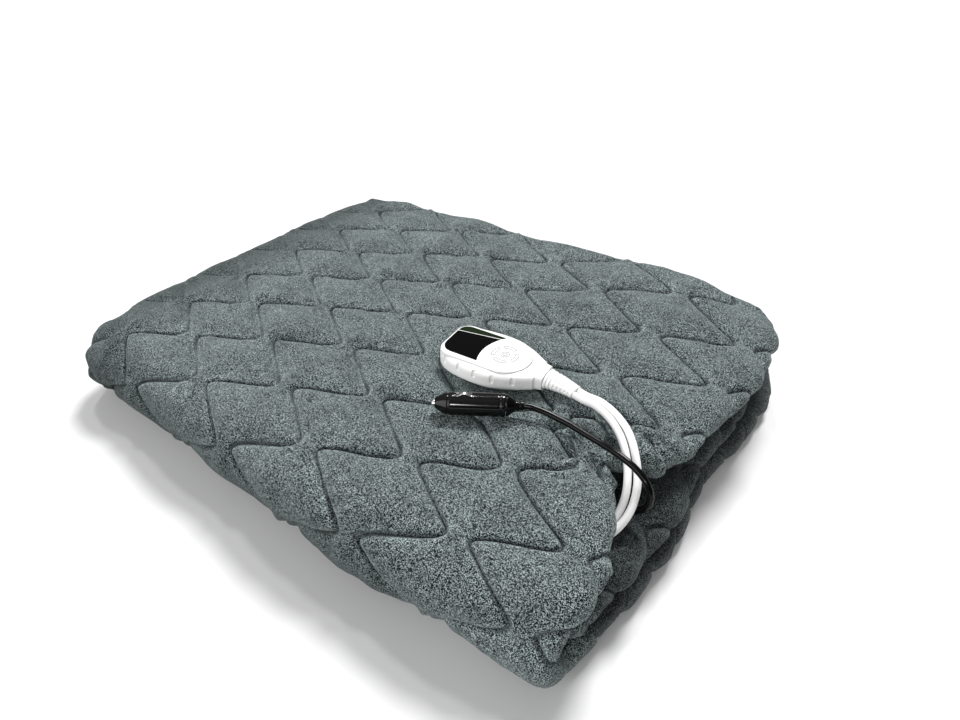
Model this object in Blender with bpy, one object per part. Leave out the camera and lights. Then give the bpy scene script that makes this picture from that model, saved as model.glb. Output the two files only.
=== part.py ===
"""Electric heated throw blanket, folded into a flat pack, with its controller and 12-volt plug.

The quilted cloth is one solid. It is folded in half along X, with the round fold at +X and the
two hems at -X, and the doubled cloth is then folded in three along Y: top panel, big front fold,
bottom panel, back fold, inner panel. The controller, its two white leads, the plug and its black
lead lie on the top panel, and the leads run over the +X edge into the gap under that panel.

Metres, +Z up, origin at the middle of the footprint on the surface that the pack lies on.
"""
import math
from collections import namedtuple

import bmesh
import bpy
from mathutils import Matrix, Vector

MM = 0.001

# ---- folded cloth ----------------------------------------------------------------------------
PACK_HEIGHT = 88.0 * MM       # top of the puffs above the surface
LEAF_AT_SEAM = 4.5 * MM       # quilted cloth, pressed thin along a seam
PUFF = 7.5 * MM               # how far a puff rises over its seams
LEAF_PLAIN = 10.5 * MM        # the leaf that the folds hide
LEAF_GAP = 1.5 * MM           # between the two leaves of the doubled cloth
LAYER_GAP = 2.5 * MM          # between bottom panel and inner panel
OUTER = LEAF_GAP / 2 + LEAF_AT_SEAM + PUFF      # slab middle to the shown face, at a puff
INNER = LEAF_GAP / 2 + LEAF_PLAIN               # slab middle to the hidden face

# ---- quilting: zigzag seams along Y, each the mirror image of the next ---------------------------
SEAM_PITCH = 77.5 * MM        # from seam to seam, along X
SEAM_SWING = 28.5 * MM        # a zigzag's reach to each side of its middle
STROKE = 39.4 * MM            # from a left tip to the next right tip, along Y
SEAM_X0 = -147.5 * MM         # middle of seam 0
TIP_Y0 = 155.5 * MM           # a left tip of seam 0
PUFF_SHOULDER = 9.0 * MM      # a puff has most of its height this far from the seam
SEAMS = range(-2, 7)

# ---- plan of the pack ---------------------------------------------------------------------------
FRONT_Y = TIP_Y0 - 9 * STROKE                   # where the front fold starts
BACK_EDGE_Y = 240.5 * MM                        # free edge of the top panel
BACK_FOLD_Y = 219.0 * MM                        # where the back fold starts
INNER_END_Y = FRONT_Y - 4 * MM                  # free edge of the inner panel
PACK_CENTRE = Vector((1.1 * MM, 5.2 * MM, 0))   # middle of the finished footprint in this plan
FOLD_X = 307.0 * MM                             # round fold of the doubled cloth
HEM_X = -325.0 * MM                             # hems of the doubled cloth
BOTTOM_Z = OUTER                                # middle height of each slab
BACK_RADIUS = (2 * INNER + LAYER_GAP) / 2
INNER_Z = BOTTOM_Z + 2 * BACK_RADIUS
TOP_Z = PACK_HEIGHT - OUTER
FRONT_RADIUS = (TOP_Z - BOTTOM_Z) / 2
FRONT_Z = (TOP_Z + BOTTOM_Z) / 2

Edge = namedtuple("Edge", "y x")
TOP_EDGE = (                  # +X edge of the top panel, with the notch that the leads pass
    Edge(-240 * MM, 298 * MM), Edge(-190 * MM, 305 * MM), Edge(-158 * MM, 304 * MM),
    Edge(-120 * MM, 289 * MM), Edge(-100 * MM, 282 * MM), Edge(-81 * MM, 272 * MM),
    Edge(-62 * MM, 256 * MM), Edge(-42 * MM, 294 * MM), Edge(-5 * MM, 309 * MM),
    Edge(108 * MM, 325 * MM), Edge(185 * MM, 321 * MM), Edge(215 * MM, 311 * MM),
    Edge(240 * MM, 290 * MM))
LOWER_EDGE = (                # +X edge of the bottom and inner panels
    Edge(-240 * MM, 299 * MM), Edge(-215 * MM, 302 * MM), Edge(-160 * MM, 309 * MM),
    Edge(-118 * MM, 316 * MM), Edge(-58 * MM, 323 * MM), Edge(24 * MM, 318 * MM),
    Edge(110 * MM, 331 * MM), Edge(175 * MM, 333 * MM), Edge(225 * MM, 321 * MM),
    Edge(245 * MM, 304 * MM))
HEM_EDGE = (                  # -X hems
    Edge(-243 * MM, -273 * MM), Edge(-193 * MM, -303 * MM), Edge(-138 * MM, -322 * MM),
    Edge(-15 * MM, -327 * MM), Edge(173 * MM, -330 * MM), Edge(240 * MM, -319 * MM))
INNER_SET_BACK = 4 * MM       # the inner panel's round fold behind the bottom panel's
INNER_SET_BACK_REAR = 11 * MM                   # more of it at the back corner
EDGE_REACH = 130 * MM         # how far in an edge's shift is felt
HEM_SET_BACK = 7 * MM         # the hidden leaf's hem behind the shown one
HEM_TAPER = 12 * MM           # a hem thins over this width
HEM_THIN = 0.45               # thickness left at a hem
ARC_STEPS = 6                 # facets round the fold of the doubled cloth

# ---- how the pile of layers settles -----------------------------------------------------------
HEM_SAG = 9 * MM              # the top panel closes its gap towards the hems
END_DROOP = 0.14              # share of the height lost at the hems
FRONT_TUCK = 15 * MM          # the front fold draws in towards the round fold
BACK_SPREAD = 11 * MM         # and the back swells out and up
BACK_LIFT = 8 * MM
BACK_AT = Vector((170 * MM, 215 * MM))
BACK_WIDTH = 95 * MM
WAVE = 3.0 * MM               # slow unevenness of the top panel
HOLLOW_DEPTH = 7 * MM         # dip of the top panel behind the notch
HOLLOW_AT = Vector((236 * MM, -56 * MM))
HOLLOW_SPREAD = 26 * MM

# ---- controller ---------------------------------------------------------------------------------
TOP_LEVEL = PACK_HEIGHT
CONTROLLER_TIP = Vector((61.8 * MM, -31.4 * MM, TOP_LEVEL - 3 * MM))
CONTROLLER_TURN = math.radians(6.0)
CONTROLLER_LENGTH = 106 * MM
Section = namedtuple("Section", "along half low high")
SHELL_SECTIONS = (            # stations from the display end to the neck
    Section(0.0, 10.5, 7.5, 16.8), Section(1.2, 15.6, 5.0, 18.2), Section(4.0, 21.4, 2.0, 19.2),
    Section(9.0, 26.2, 0.6, 19.6), Section(18.0, 30.2, 0.0, 19.8), Section(34.0, 33.2, 0.0, 19.8),
    Section(50.0, 33.8, 0.0, 19.8), Section(62.0, 32.6, 0.0, 19.8), Section(73.0, 29.0, 0.2, 19.6),
    Section(83.0, 24.6, 0.6, 19.2), Section(92.0, 19.4, 1.4, 18.6), Section(100.0, 14.9, 2.0, 18.3),
    Section(106.0, 13.4, 2.4, 18.2))
SHELL_SQUARE = 4.6            # exponent of the shell's squared-off cross-section
COVER_START = 2.2 * MM        # cover plate, let into the shell
COVER_HALF = 25.8 * MM
COVER_CORNER = 12.5 * MM      # corner radius at the display end
PAD_CENTRE = 62.5 * MM        # round end of the cover, where the button is
COVER_FLOOR = 16.4 * MM
COVER_TOP = 20.2 * MM
COVER_CLEARANCE = 0.6 * MM
GLASS_START = 3.4 * MM        # the display's two pieces, from here to an arc at the button
GLASS_SIDES = (-20.6 * MM, 24.0 * MM)
GLASS_SPLIT = (13.0 * MM, 0.16)                 # where they meet: across at the start, and slope
GLASS_SPACING = 1.2 * MM
GLASS_ARC = Vector((82 * MM, -4 * MM))
GLASS_ARC_RADIUS = 42 * MM
GLASS_CORNERS = ((12.0 * MM, 0.8 * MM), (0.8 * MM, 9.8 * MM))     # radii at the start, low and high
GLASS_DEPTH = 1.4 * MM
GLASS_RISE = 0.15 * MM
CUT_TOP = 30 * MM             # cutters reach this high
RING_OUTER = 14.2 * MM
RING_INNER = 8.0 * MM
RING_DEPTH = 1.0 * MM
RING_RISE = 0.5 * MM
BUTTON_RADIUS = 5.4 * MM
BUTTON_DEPTH = 2.2 * MM
BUTTON_TRAVEL = 0.8 * MM
FIT = 0.3 * MM                # gap between pieces that touch

# ---- boot between controller and leads ----------------------------------------------------------
BOOT_LENGTH = 30 * MM
BOOT_START = (12.9 * MM, 7.5 * MM)              # half width and half height at the neck
BOOT_END = (8.0 * MM, 4.4 * MM)
BOOT_RIBS = 5
BOOT_RIB_DEPTH = 0.9 * MM
BOOT_BEND = -4.0 * MM
BOOT_RISE = (10.4 * MM, 9.0 * MM)                # height of its middle at each end

# ---- plug ---------------------------------------------------------------------------------------
PLUG_TIP = Vector((104.9 * MM, -109.5 * MM, TOP_LEVEL + 8.4 * MM))
PLUG_TURN = math.radians(33.4)
PLUG_RADIUS = 10.4 * MM
PIN_RADIUS = 3.2 * MM
PIN_OUT = 3.4 * MM
PIN_LENGTH = 9.0 * MM
PIN_TRAVEL = 2.5 * MM
NOSE_END = 13 * MM
BODY_END = 64.5 * MM
COLLAR_END = 72 * MM
SLEEVE_END = 80.5 * MM
SLEEVE_RADIUS = 4.2 * MM
CONTACT_START = 22 * MM
CONTACT_END = 34 * MM
CONTACT_WIDTH = 4.6 * MM
CONTACT_RISE = 1.5 * MM
BODY_RIBS = 8

# ---- leads ---------------------------------------------------------------------------------------
WHITE_LEAD = 6.4 * MM
BLACK_LEAD = 5.6 * MM
LEAD_STEP = 2.2               # spacing of a lead's points, in its diameters
WHITE_OUT = 1.5               # diameters that a lead runs straight out of its boot or sleeve
BLACK_OUT = 0.6
# Routes by hand: x, y in millimetres, z in millimetres above the top of the puffs.
WHITE_ROUTE_1 = ((221.5, -19.5, 6.6), (239, -25.5, 5.8), (256, -37.5, 5.2), (269.3, -52.6, 2.5),
                 (279.8, -67, -5), (286, -81.5, -13.5), (287, -96, -22.5), (282, -111.5, -30.3),
                 (270, -126.5, -33), (255, -140, -33))
WHITE_ROUTE_2 = ((220, -26.5, 6.2), (236, -32, 5.0), (251.5, -43.2, 3.4), (264.8, -57.8, -0.5),
                 (273.8, -71.2, -8.4), (279, -84.4, -17.4), (279.2, -97.5, -26.6),
                 (273.5, -110.5, -32.6), (261.5, -123.5, -34), (247, -136, -34))
BLACK_ROUTE = ((188.7, -60.0, 6.8), (197, -59.1, 5.8), (213, -58.8, 4.8), (229.5, -60.9, 4.6),
               (246, -63.4, 5.2), (262.7, -68.0, 6.8), (278, -71.6, 5.2), (289.5, -74.6, -0.5),
               (296, -77, -9.5), (296.6, -79.5, -18.5), (290.5, -82, -26), (279, -83.5, -30.5),
               (262, -84.8, -31.5), (246, -87, -31.5))

COLOURS = {                   # base colour, roughness, metallic
    "fleece": ((0.105, 0.135, 0.132), 0.95, 0.0),
    "white_plastic": ((0.82, 0.82, 0.80), 0.30, 0.0),
    "white_rubber": ((0.80, 0.80, 0.78), 0.45, 0.0),
    "display_black": ((0.006, 0.006, 0.006), 0.08, 0.0),
    "display_green": ((0.020, 0.045, 0.012), 0.12, 0.0),
    "black_plastic": ((0.012, 0.012, 0.012), 0.20, 0.0),
    "black_rubber": ((0.014, 0.014, 0.014), 0.40, 0.0),
    "nickel": ((0.72, 0.71, 0.69), 0.22, 1.0),
}


def clear_scene():
    for obj in list(bpy.data.objects):
        bpy.data.objects.remove(obj, do_unlink=True)


def material(name):
    found = bpy.data.materials.get(name)
    if found:
        return found
    colour, roughness, metallic = COLOURS[name]
    mat = bpy.data.materials.new(name)
    mat.use_nodes = True
    shader = mat.node_tree.nodes["Principled BSDF"]
    shader.inputs["Base Color"].default_value = (*colour, 1.0)
    shader.inputs["Roughness"].default_value = roughness
    shader.inputs["Metallic"].default_value = metallic
    mat.diffuse_color = (*colour, 1.0)
    return mat


def new_object(name, bm, mat_name, matrix=None, sharp=math.radians(35)):
    """Makes an object of a bmesh, with its faces turned outwards and round parts shaded smooth."""
    bmesh.ops.recalc_face_normals(bm, faces=bm.faces)
    mesh = bpy.data.meshes.new(name)
    bm.to_mesh(mesh)
    bm.free()
    mesh.materials.append(material(mat_name))
    mesh.shade_smooth()
    mesh.set_sharp_from_angle(angle=sharp)
    obj = bpy.data.objects.new(name, mesh)
    bpy.context.scene.collection.objects.link(obj)
    if matrix is not None:
        obj.matrix_world = matrix
    return obj


def ease(t):
    t = min(max(t, 0.0), 1.0)
    return t * t * (3 - 2 * t)


def edge_x(rows, y):
    """Reads an edge table at y, with a soft step from row to row."""
    if y <= rows[0].y:
        return rows[0].x
    for low, high in zip(rows, rows[1:]):
        if y <= high.y:
            return low.x + (high.x - low.x) * ease((y - low.y) / (high.y - low.y))
    return rows[-1].x


# ---- quilting ------------------------------------------------------------------------------------
def seam_x(n, v):
    """Where seam n lies at v: an even step from the first tip is a left tip, an odd one a right."""
    step = ((TIP_Y0 - v) / STROKE + n) % 2.0
    swing = 2 * step - 1 if step <= 1 else 3 - 2 * step
    return SEAM_X0 + n * SEAM_PITCH + SEAM_SWING * swing


def relief(u, v):
    """0 on a seam, rising to 1 in the middle of a puff."""
    slant = STROKE / math.hypot(STROKE, 2 * SEAM_SWING)
    nearest = round((u - SEAM_X0) / SEAM_PITCH)
    gap = min(abs(u - seam_x(n, v)) for n in range(nearest - 1, nearest + 2))
    return 1 - math.exp(-gap * slant / PUFF_SHOULDER)


def hidden_lines():
    """The same for the faces that the folds hide: close together only where the cloth bends."""
    last = FOLD_X - OUTER
    start = [HEM_X + d * MM for d in (0, 12, 32, 56, 84, 116)]
    end = [last - d * MM for d in (104, 78, 52, 26, 0)]
    middle = [start[-1] + (end[0] - start[-1]) * k / 4 for k in range(1, 4)]
    return start + middle + end


def quilt_lines():
    """Places along X of the cloth's lengthwise mesh lines, so that seams fall on mesh edges."""
    lines = [HEM_X, HEM_X + HEM_TAPER]
    for n in SEAMS:
        middle = SEAM_X0 + n * SEAM_PITCH
        lines += [middle - SEAM_SWING, middle, middle + SEAM_SWING, middle + SEAM_PITCH / 2]
    last = FOLD_X - OUTER
    return [x for x in lines if HEM_X <= x < last - MM and not HEM_X < x < HEM_X + HEM_TAPER] + [last]


# ---- the folded cloth ------------------------------------------------------------------------------
Row = namedtuple("Row", "y z ny nz v edge hem show thin")


def cloth_rows():
    """Stations along the fold, from the top panel's free edge to the inner panel's free edge.

    y, z and the normal ny, nz place the slab's middle; v is the quilting's coordinate; edge and
    hem are its ends along X; show is 0 where the face is pressed flat, and thin thins a hem.
    """
    quarter = STROKE / 2
    rows = []

    def panel(y, z, side, v, table, show=1.0, thin=1.0, shift=0.0):
        rows.append(Row(y, z, 0.0, side, v, edge_x(table, y) + shift, edge_x(HEM_EDGE, y), show, thin))

    panel(BACK_EDGE_Y, TOP_Z, 1, BACK_EDGE_Y, TOP_EDGE, show=0.0, thin=HEM_THIN)
    steps = int(round((TIP_Y0 - FRONT_Y) / quarter))
    for k in range(4, -steps - 1, -1):
        panel(TIP_Y0 + k * quarter, TOP_Z, 1, TIP_Y0 + k * quarter, TOP_EDGE)

    front_steps = 6
    for k in range(1, front_steps):
        turn = math.pi * k / front_steps
        share = k / front_steps
        y = FRONT_Y - FRONT_RADIUS * math.sin(turn)
        edge = edge_x(TOP_EDGE, y) * (1 - share) + edge_x(LOWER_EDGE, y) * share
        rows.append(Row(y, FRONT_Z + FRONT_RADIUS * math.cos(turn), -math.sin(turn), math.cos(turn),
                        FRONT_Y - k * quarter, edge, edge_x(HEM_EDGE, y), ease(3 * (1 - share)), 1.0))

    bottom_steps = 8
    for k in range(bottom_steps + 1):
        y = FRONT_Y + (BACK_FOLD_Y - FRONT_Y) * k / bottom_steps
        panel(y, BOTTOM_Z, -1, 0.0, LOWER_EDGE, show=0.0)

    back_steps = 5
    back_v = BACK_FOLD_Y + math.pi * BACK_RADIUS
    for k in range(1, back_steps):
        turn = math.pi * k / back_steps
        y = BACK_FOLD_Y + BACK_RADIUS * math.sin(turn)
        share = k / back_steps
        edge = edge_x(LOWER_EDGE, y) - (INNER_SET_BACK + INNER_SET_BACK_REAR) * ease(share)
        rows.append(Row(y, INNER_Z - BACK_RADIUS * (1 + math.cos(turn)), math.sin(turn),
                        -math.cos(turn), back_v - BACK_RADIUS * turn, edge, edge_x(HEM_EDGE, y),
                        share, 1.0))

    inner_steps = 11
    for k in range(inner_steps):
        y = BACK_FOLD_Y + (INNER_END_Y + HEM_TAPER - BACK_FOLD_Y) * k / (inner_steps - 1)
        set_back = INNER_SET_BACK + INNER_SET_BACK_REAR * ease((y - 40 * MM) / (110 * MM))
        panel(y, INNER_Z, 1, y, LOWER_EDGE, shift=-set_back)
    panel(INNER_END_Y, INNER_Z, 1, INNER_END_Y, LOWER_EDGE, 0.0, HEM_THIN, -INNER_SET_BACK)
    return rows


def place_x(u, row, set_back=0.0):
    """Moves a mesh line from its nominal place to where this row's edge and hem are."""
    near_fold = ease((u - (FOLD_X - EDGE_REACH - 30 * MM)) / EDGE_REACH)
    near_hem = ease((HEM_X + EDGE_REACH - u) / EDGE_REACH)
    return u + (row.edge - FOLD_X) * near_fold + (row.hem - HEM_X + set_back) * near_hem


def leaf_section(row):
    """The doubled cloth cut across: (x, distance from the slab's middle) round its closed outline."""
    lines = quilt_lines()
    coarse = hidden_lines()
    half_gap = LEAF_GAP / 2

    def shown(u):
        hem = HEM_THIN + (1 - HEM_THIN) * ease((u - HEM_X) / HEM_TAPER)
        puff = 1 - (1 - relief(u, row.v)) * row.show
        return half_gap + (LEAF_AT_SEAM + PUFF * puff) * min(hem, row.thin)

    def hidden(u):
        hem = HEM_THIN + (1 - HEM_THIN) * ease((u - HEM_X) / HEM_TAPER)
        return half_gap + LEAF_PLAIN * min(hem, row.thin)

    centre = place_x(lines[-1], row)
    outside = [(place_x(u, row), shown(u)) for u in lines]
    for k in range(1, ARC_STEPS):
        turn = math.pi * k / ARC_STEPS
        share = k / ARC_STEPS
        radius = shown(lines[-1] + OUTER * turn) * (1 - share) + hidden(lines[-1]) * share
        outside.append((centre + radius * math.sin(turn), radius * math.cos(turn)))
    outside += [(place_x(u, row, HEM_SET_BACK), -hidden(u)) for u in reversed(coarse)]
    inside = [(place_x(u, row), half_gap) for u in coarse]
    inside.append((centre + half_gap, 0.0))
    inside += [(place_x(u, row, HEM_SET_BACK), -half_gap) for u in reversed(coarse)]
    return outside, inside


def chain_progress():
    """How far along the doubled cloth each point of leaf_section's two lists lies."""
    lines, coarse = quilt_lines(), hidden_lines()
    last = lines[-1]
    back = [last + ARC_STEPS * MM + last - u for u in reversed(coarse)]
    outside = lines + [last + k * MM for k in range(1, ARC_STEPS)] + back
    return outside, coarse + [last + ARC_STEPS / 2 * MM] + back


def close_end(bm, outside, inside):
    """Closes a free edge of the cloth with triangles between its two faces."""
    progress_out, progress_in = chain_progress()
    i = j = 0
    while i < len(outside) - 1 or j < len(inside) - 1:
        step_out = j == len(inside) - 1 or (i < len(outside) - 1 and progress_out[i + 1] <= progress_in[j + 1])
        ahead = outside[i + 1] if step_out else inside[j + 1]
        bm.faces.new((outside[i], inside[j], ahead))
        if step_out:
            i += 1
        else:
            j += 1


def settle(x, y, z):
    """Where a point ends up once the pile has settled: lower at the hems, uneven on top, dipped at
    the notch, drawn in at the front corner and swollen at the back."""
    upper = ease((z - 0.34 * PACK_HEIGHT) / (0.36 * PACK_HEIGHT))
    z -= HEM_SAG * upper * ease((-20 * MM - x) / (260 * MM))
    z *= 1 - END_DROOP * ease((-215 * MM - x) / (110 * MM))
    swell = math.sin(x / (48 * MM) + 0.9) * math.sin(y / (41 * MM) + 0.4)
    z -= WAVE * upper * (0.5 - 0.5 * swell)
    away = (Vector((x, y)) - HOLLOW_AT).length
    z -= HOLLOW_DEPTH * upper * math.exp(-(away / HOLLOW_SPREAD) ** 2)
    away = (Vector((x, y)) - BACK_AT).length
    lift = math.exp(-(away / BACK_WIDTH) ** 2)
    tuck = ease((x - 110 * MM) / (190 * MM)) * ease((-130 * MM - y) / (110 * MM))
    return Vector((x, y + FRONT_TUCK * tuck + BACK_SPREAD * lift, max(z + BACK_LIFT * upper * lift, 0.0)))


def resting_limit(x, y):
    """The highest that cloth may reach under the controller and the plug, which press into it."""
    here = Vector((x, y))
    limits = []
    for tip, turn, length, half, level in (
            (CONTROLLER_TIP, CONTROLLER_TURN, CONTROLLER_LENGTH, 22 * MM, CONTROLLER_TIP.z),
            (PLUG_TIP, PLUG_TURN, SLEEVE_END, 6 * MM, PLUG_TIP.z - PLUG_RADIUS)):
        along = Vector((math.cos(turn), math.sin(turn)))
        offset = here - tip.xy
        a = offset.dot(along)
        beyond_a = max(0.0, -a, a - length)
        beyond_b = max(0.0, abs(offset.cross(along)) - half)
        beyond = max(0.0, math.hypot(beyond_a, beyond_b) - 16 * MM)
        limits.append(level - FIT + 0.35 * beyond)
    return min(limits)


def build_blanket():
    rows = cloth_rows()
    bm = bmesh.new()
    rings = []
    for row in rows:
        outside, inside = leaf_section(row)
        ring = []
        for index, (x, out) in enumerate(outside + list(reversed(inside))):
            place = settle(x, row.y + row.ny * out, row.z + row.nz * out)
            if index < len(quilt_lines()) and row.nz > 0.5 and row.z > FRONT_Z:
                place.z = min(place.z, resting_limit(place.x, place.y))
            ring.append(bm.verts.new(place))
        rings.append(ring)
    for row_a, row_b, ring_a, ring_b in zip(rows, rows[1:], rings, rings[1:]):
        skin_strip(bm, row_a, ring_a, row_b, ring_b)
    count = len(chain_progress()[0])
    for ring in (rings[0], rings[-1]):
        close_end(bm, ring[:count], list(reversed(ring[count:])))
    bmesh.ops.triangulate(bm, faces=bm.faces)
    return new_object("blanket", bm, "fleece", sharp=math.radians(60))


def skin_strip(bm, row_a, ring_a, row_b, ring_b):
    """Joins two rings, with each cell split along the diagonal that follows the seam."""
    lines = quilt_lines()
    count = len(ring_a)
    for i in range(count):
        j = (i + 1) % count
        quad = (ring_a[i], ring_b[i], ring_b[j], ring_a[j])
        if i + 1 < len(lines):
            rising = relief(lines[i], row_a.v) + relief(lines[j], row_b.v)
            falling = relief(lines[j], row_a.v) + relief(lines[i], row_b.v)
            if rising <= falling:
                bm.faces.new((quad[0], quad[1], quad[2]))
                bm.faces.new((quad[0], quad[2], quad[3]))
            else:
                bm.faces.new((quad[0], quad[1], quad[3]))
                bm.faces.new((quad[1], quad[2], quad[3]))
        else:
            bm.faces.new(quad)


# ---- small shapes ----------------------------------------------------------------------------------
def loft(rings, cap=True):
    """A closed body through rings of points, which all have the same count."""
    bm = bmesh.new()
    made = [[bm.verts.new(p) for p in ring] for ring in rings]
    for a, b in zip(made, made[1:]):
        for i in range(len(a)):
            j = (i + 1) % len(a)
            bm.faces.new((a[i], a[j], b[j], b[i]))
    if cap:
        bm.faces.new(list(reversed(made[0])))
        bm.faces.new(made[-1])
    return bm


def turned(profile, segments):
    """A body turned about X from (along, radius) pairs; a first or last radius of 0 closes it."""
    bm = bmesh.new()
    rings = []
    for along, radius in profile:
        if radius == 0:
            rings.append([bm.verts.new((along, 0, 0))])
            continue
        rings.append([bm.verts.new((along, radius * math.cos(2 * math.pi * k / segments),
                                    radius * math.sin(2 * math.pi * k / segments)))
                      for k in range(segments)])
    for a, b in zip(rings, rings[1:]):
        for k in range(segments):
            corners = [a[k % len(a)], a[(k + 1) % len(a)], b[(k + 1) % len(b)], b[k % len(b)]]
            bm.faces.new(list(dict.fromkeys(corners)))
    for end in (rings[0], rings[-1]):
        if len(end) > 1:
            bm.faces.new(end)
    return bm


def prism(outline, low, high):
    """A flat plate between two heights, from an outline of (x, y) points."""
    return loft([[(x, y, low) for x, y in outline], [(x, y, high) for x, y in outline]])


def ring_plate(inner, outer, low, high, centre, segments=40):
    bm = bmesh.new()
    loops = []
    for radius, z in ((inner, low), (outer, low), (outer, high), (inner, high)):
        loops.append([bm.verts.new((centre + radius * math.cos(2 * math.pi * k / segments),
                                    radius * math.sin(2 * math.pi * k / segments), z))
                      for k in range(segments)])
    for a, b in zip(loops, loops[1:] + loops[:1]):
        for k in range(segments):
            j = (k + 1) % segments
            bm.faces.new((a[k], a[j], b[j], b[k]))
    return bm


def arc(centre, radius, start, end, steps):
    """Points on an arc about (centre, 0), angles in degrees."""
    turns = [math.radians(start + (end - start) * k / steps) for k in range(steps + 1)]
    return [(centre + radius * math.cos(t), radius * math.sin(t)) for t in turns]


def cut(target, cutter):
    cutter.hide_render = True
    cutter.display_type = "WIRE"
    modifier = target.modifiers.new("cut_" + cutter.name, "BOOLEAN")
    modifier.operation = "DIFFERENCE"
    modifier.object = cutter
    modifier.solver = "EXACT"


def placed(tip, turn):
    return Matrix.Translation(tip) @ Matrix.Rotation(turn, 4, "Z")


# ---- controller ------------------------------------------------------------------------------------
def cover_outline(grow=0.0):
    """Straight sides from the display end, with rounded corners, to a round end at the buttons."""
    half = COVER_HALF + grow
    start = COVER_START - grow
    corner = COVER_CORNER + grow
    points = arc(PAD_CENTRE, half, -90, 90, 20)
    for k in range(7):
        t = math.radians(15 * k)
        points.append((start + corner - corner * math.sin(t), half - corner + corner * math.cos(t)))
    for k in range(7):
        t = math.radians(15 * k)
        points.append((start + corner - corner * math.cos(t), -half + corner - corner * math.sin(t)))
    return points


def split_y(x, side):
    """The line between the display's two pieces, moved to one side by half their spacing."""
    return GLASS_SPLIT[0] + GLASS_SPLIT[1] * (x - GLASS_START) + side * GLASS_SPACING / 2


def glass_outline(piece, grow=0.0):
    """One piece of the display: 0 is the window, 1 the strip on its far side."""
    low_at = (lambda x: split_y(x, 1) - grow) if piece else (lambda x: GLASS_SIDES[0] - grow)
    high_at = (lambda x: GLASS_SIDES[1] + grow) if piece else (lambda x: split_y(x, -1) + grow)
    start = GLASS_START - grow

    def arc_x(y):
        return GLASS_ARC.x - math.sqrt((GLASS_ARC_RADIUS - grow) ** 2 - (y - GLASS_ARC.y) ** 2)

    def meet(side_at):
        x = arc_x(0.0)
        for _ in range(4):
            x = arc_x(side_at(x))
        return side_at(x)

    low, high = meet(low_at), meet(high_at)
    steps = 8
    across = [low + (high - low) * k / steps for k in range(steps + 1)]
    points = [(arc_x(y), y) for y in across]
    for side_at, sign, size in ((high_at, 1, GLASS_CORNERS[piece][1]), (low_at, -1, GLASS_CORNERS[piece][0])):
        turn = [math.radians(22.5 * k) for k in range(5)]
        bend = [(start + size - size * math.sin(t), side_at(start) - sign * (size - size * math.cos(t)))
                for t in turn]
        points += bend if sign > 0 else list(reversed(bend))
    return points


def shell_rings():
    count = 40
    rings = []
    for s in SHELL_SECTIONS:
        middle = (s.low + s.high) / 2
        tall = (s.high - s.low) / 2
        ring = []
        for k in range(count):
            t = 2 * math.pi * (k + 0.5) / count
            c, d = math.cos(t), math.sin(t)
            power = 2 / SHELL_SQUARE
            ring.append((s.along * MM, s.half * MM * math.copysign(abs(c) ** power, c),
                         (middle + tall * math.copysign(abs(d) ** power, d)) * MM))
        rings.append(ring)
    return rings


def build_controller():
    frame = placed(CONTROLLER_TIP, CONTROLLER_TURN)
    shell = new_object("controller_shell", loft(shell_rings()), "white_plastic", frame)
    pocket = new_object("cover_pocket", prism(cover_outline(COVER_CLEARANCE), COVER_FLOOR - FIT,
                                              CUT_TOP), "white_plastic", frame)
    cut(shell, pocket)

    cover = new_object("controller_cover", prism(cover_outline(), COVER_FLOOR, COVER_TOP),
                       "white_plastic", frame)
    floor = COVER_TOP - GLASS_DEPTH
    for piece, (name, colour) in enumerate((("display_window", "display_black"),
                                            ("display_strip", "display_green"))):
        new_object(name, prism(glass_outline(piece), floor + FIT, COVER_TOP + GLASS_RISE), colour, frame)
        seat = new_object(name + "_seat", prism(glass_outline(piece, FIT), floor, CUT_TOP),
                          "white_plastic", frame)
        cut(cover, seat)

    ring_seat = new_object("ring_seat", ring_plate(RING_INNER - FIT, RING_OUTER + FIT,
                                                   COVER_TOP - RING_DEPTH, CUT_TOP, PAD_CENTRE),
                           "white_plastic", frame)
    cut(cover, ring_seat)
    new_object("button_ring", ring_plate(RING_INNER, RING_OUTER, COVER_TOP - RING_DEPTH + FIT,
                                         COVER_TOP + RING_RISE, PAD_CENTRE), "white_rubber", frame)

    hole = new_object("button_hole", prism(arc(PAD_CENTRE, BUTTON_RADIUS + FIT, 0, 351, 39),
                                           COVER_TOP - BUTTON_DEPTH, CUT_TOP), "white_plastic", frame)
    cut(cover, hole)
    button_low = COVER_TOP - BUTTON_DEPTH + FIT + BUTTON_TRAVEL
    origin = Matrix.Translation((PAD_CENTRE, 0, 0))
    new_object("power_button", prism(arc(0, BUTTON_RADIUS, 0, 348.75, 31), button_low,
                                     COVER_TOP + RING_RISE), "white_rubber", frame @ origin)
    build_boot(frame)


def boot_rings():
    """Ellipses along a gentle sideways bend, thinned between the ribs."""
    count = 24
    rings = []
    steps = BOOT_RIBS * 4
    start = CONTROLLER_LENGTH + FIT
    for k in range(steps + 1):
        t = k / steps
        groove = BOOT_RIB_DEPTH if 0 < k < steps and k % 4 in (2, 3) else 0.0
        half = BOOT_START[0] + (BOOT_END[0] - BOOT_START[0]) * t ** 0.8 - groove
        tall = BOOT_START[1] + (BOOT_END[1] - BOOT_START[1]) * t ** 0.8 - groove * 0.6
        middle = BOOT_RISE[0] + (BOOT_RISE[1] - BOOT_RISE[0]) * t
        sideways = BOOT_BEND * t * t
        lean = math.atan2(2 * BOOT_BEND * t, BOOT_LENGTH)
        rings.append([(start + BOOT_LENGTH * t - half * math.cos(a) * math.sin(lean),
                       sideways + half * math.cos(a) * math.cos(lean), middle + tall * math.sin(a))
                      for a in (2 * math.pi * i / count for i in range(count))])
    return rings


def build_boot(frame):
    new_object("lead_boot", loft(boot_rings()), "white_rubber", frame)


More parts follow.
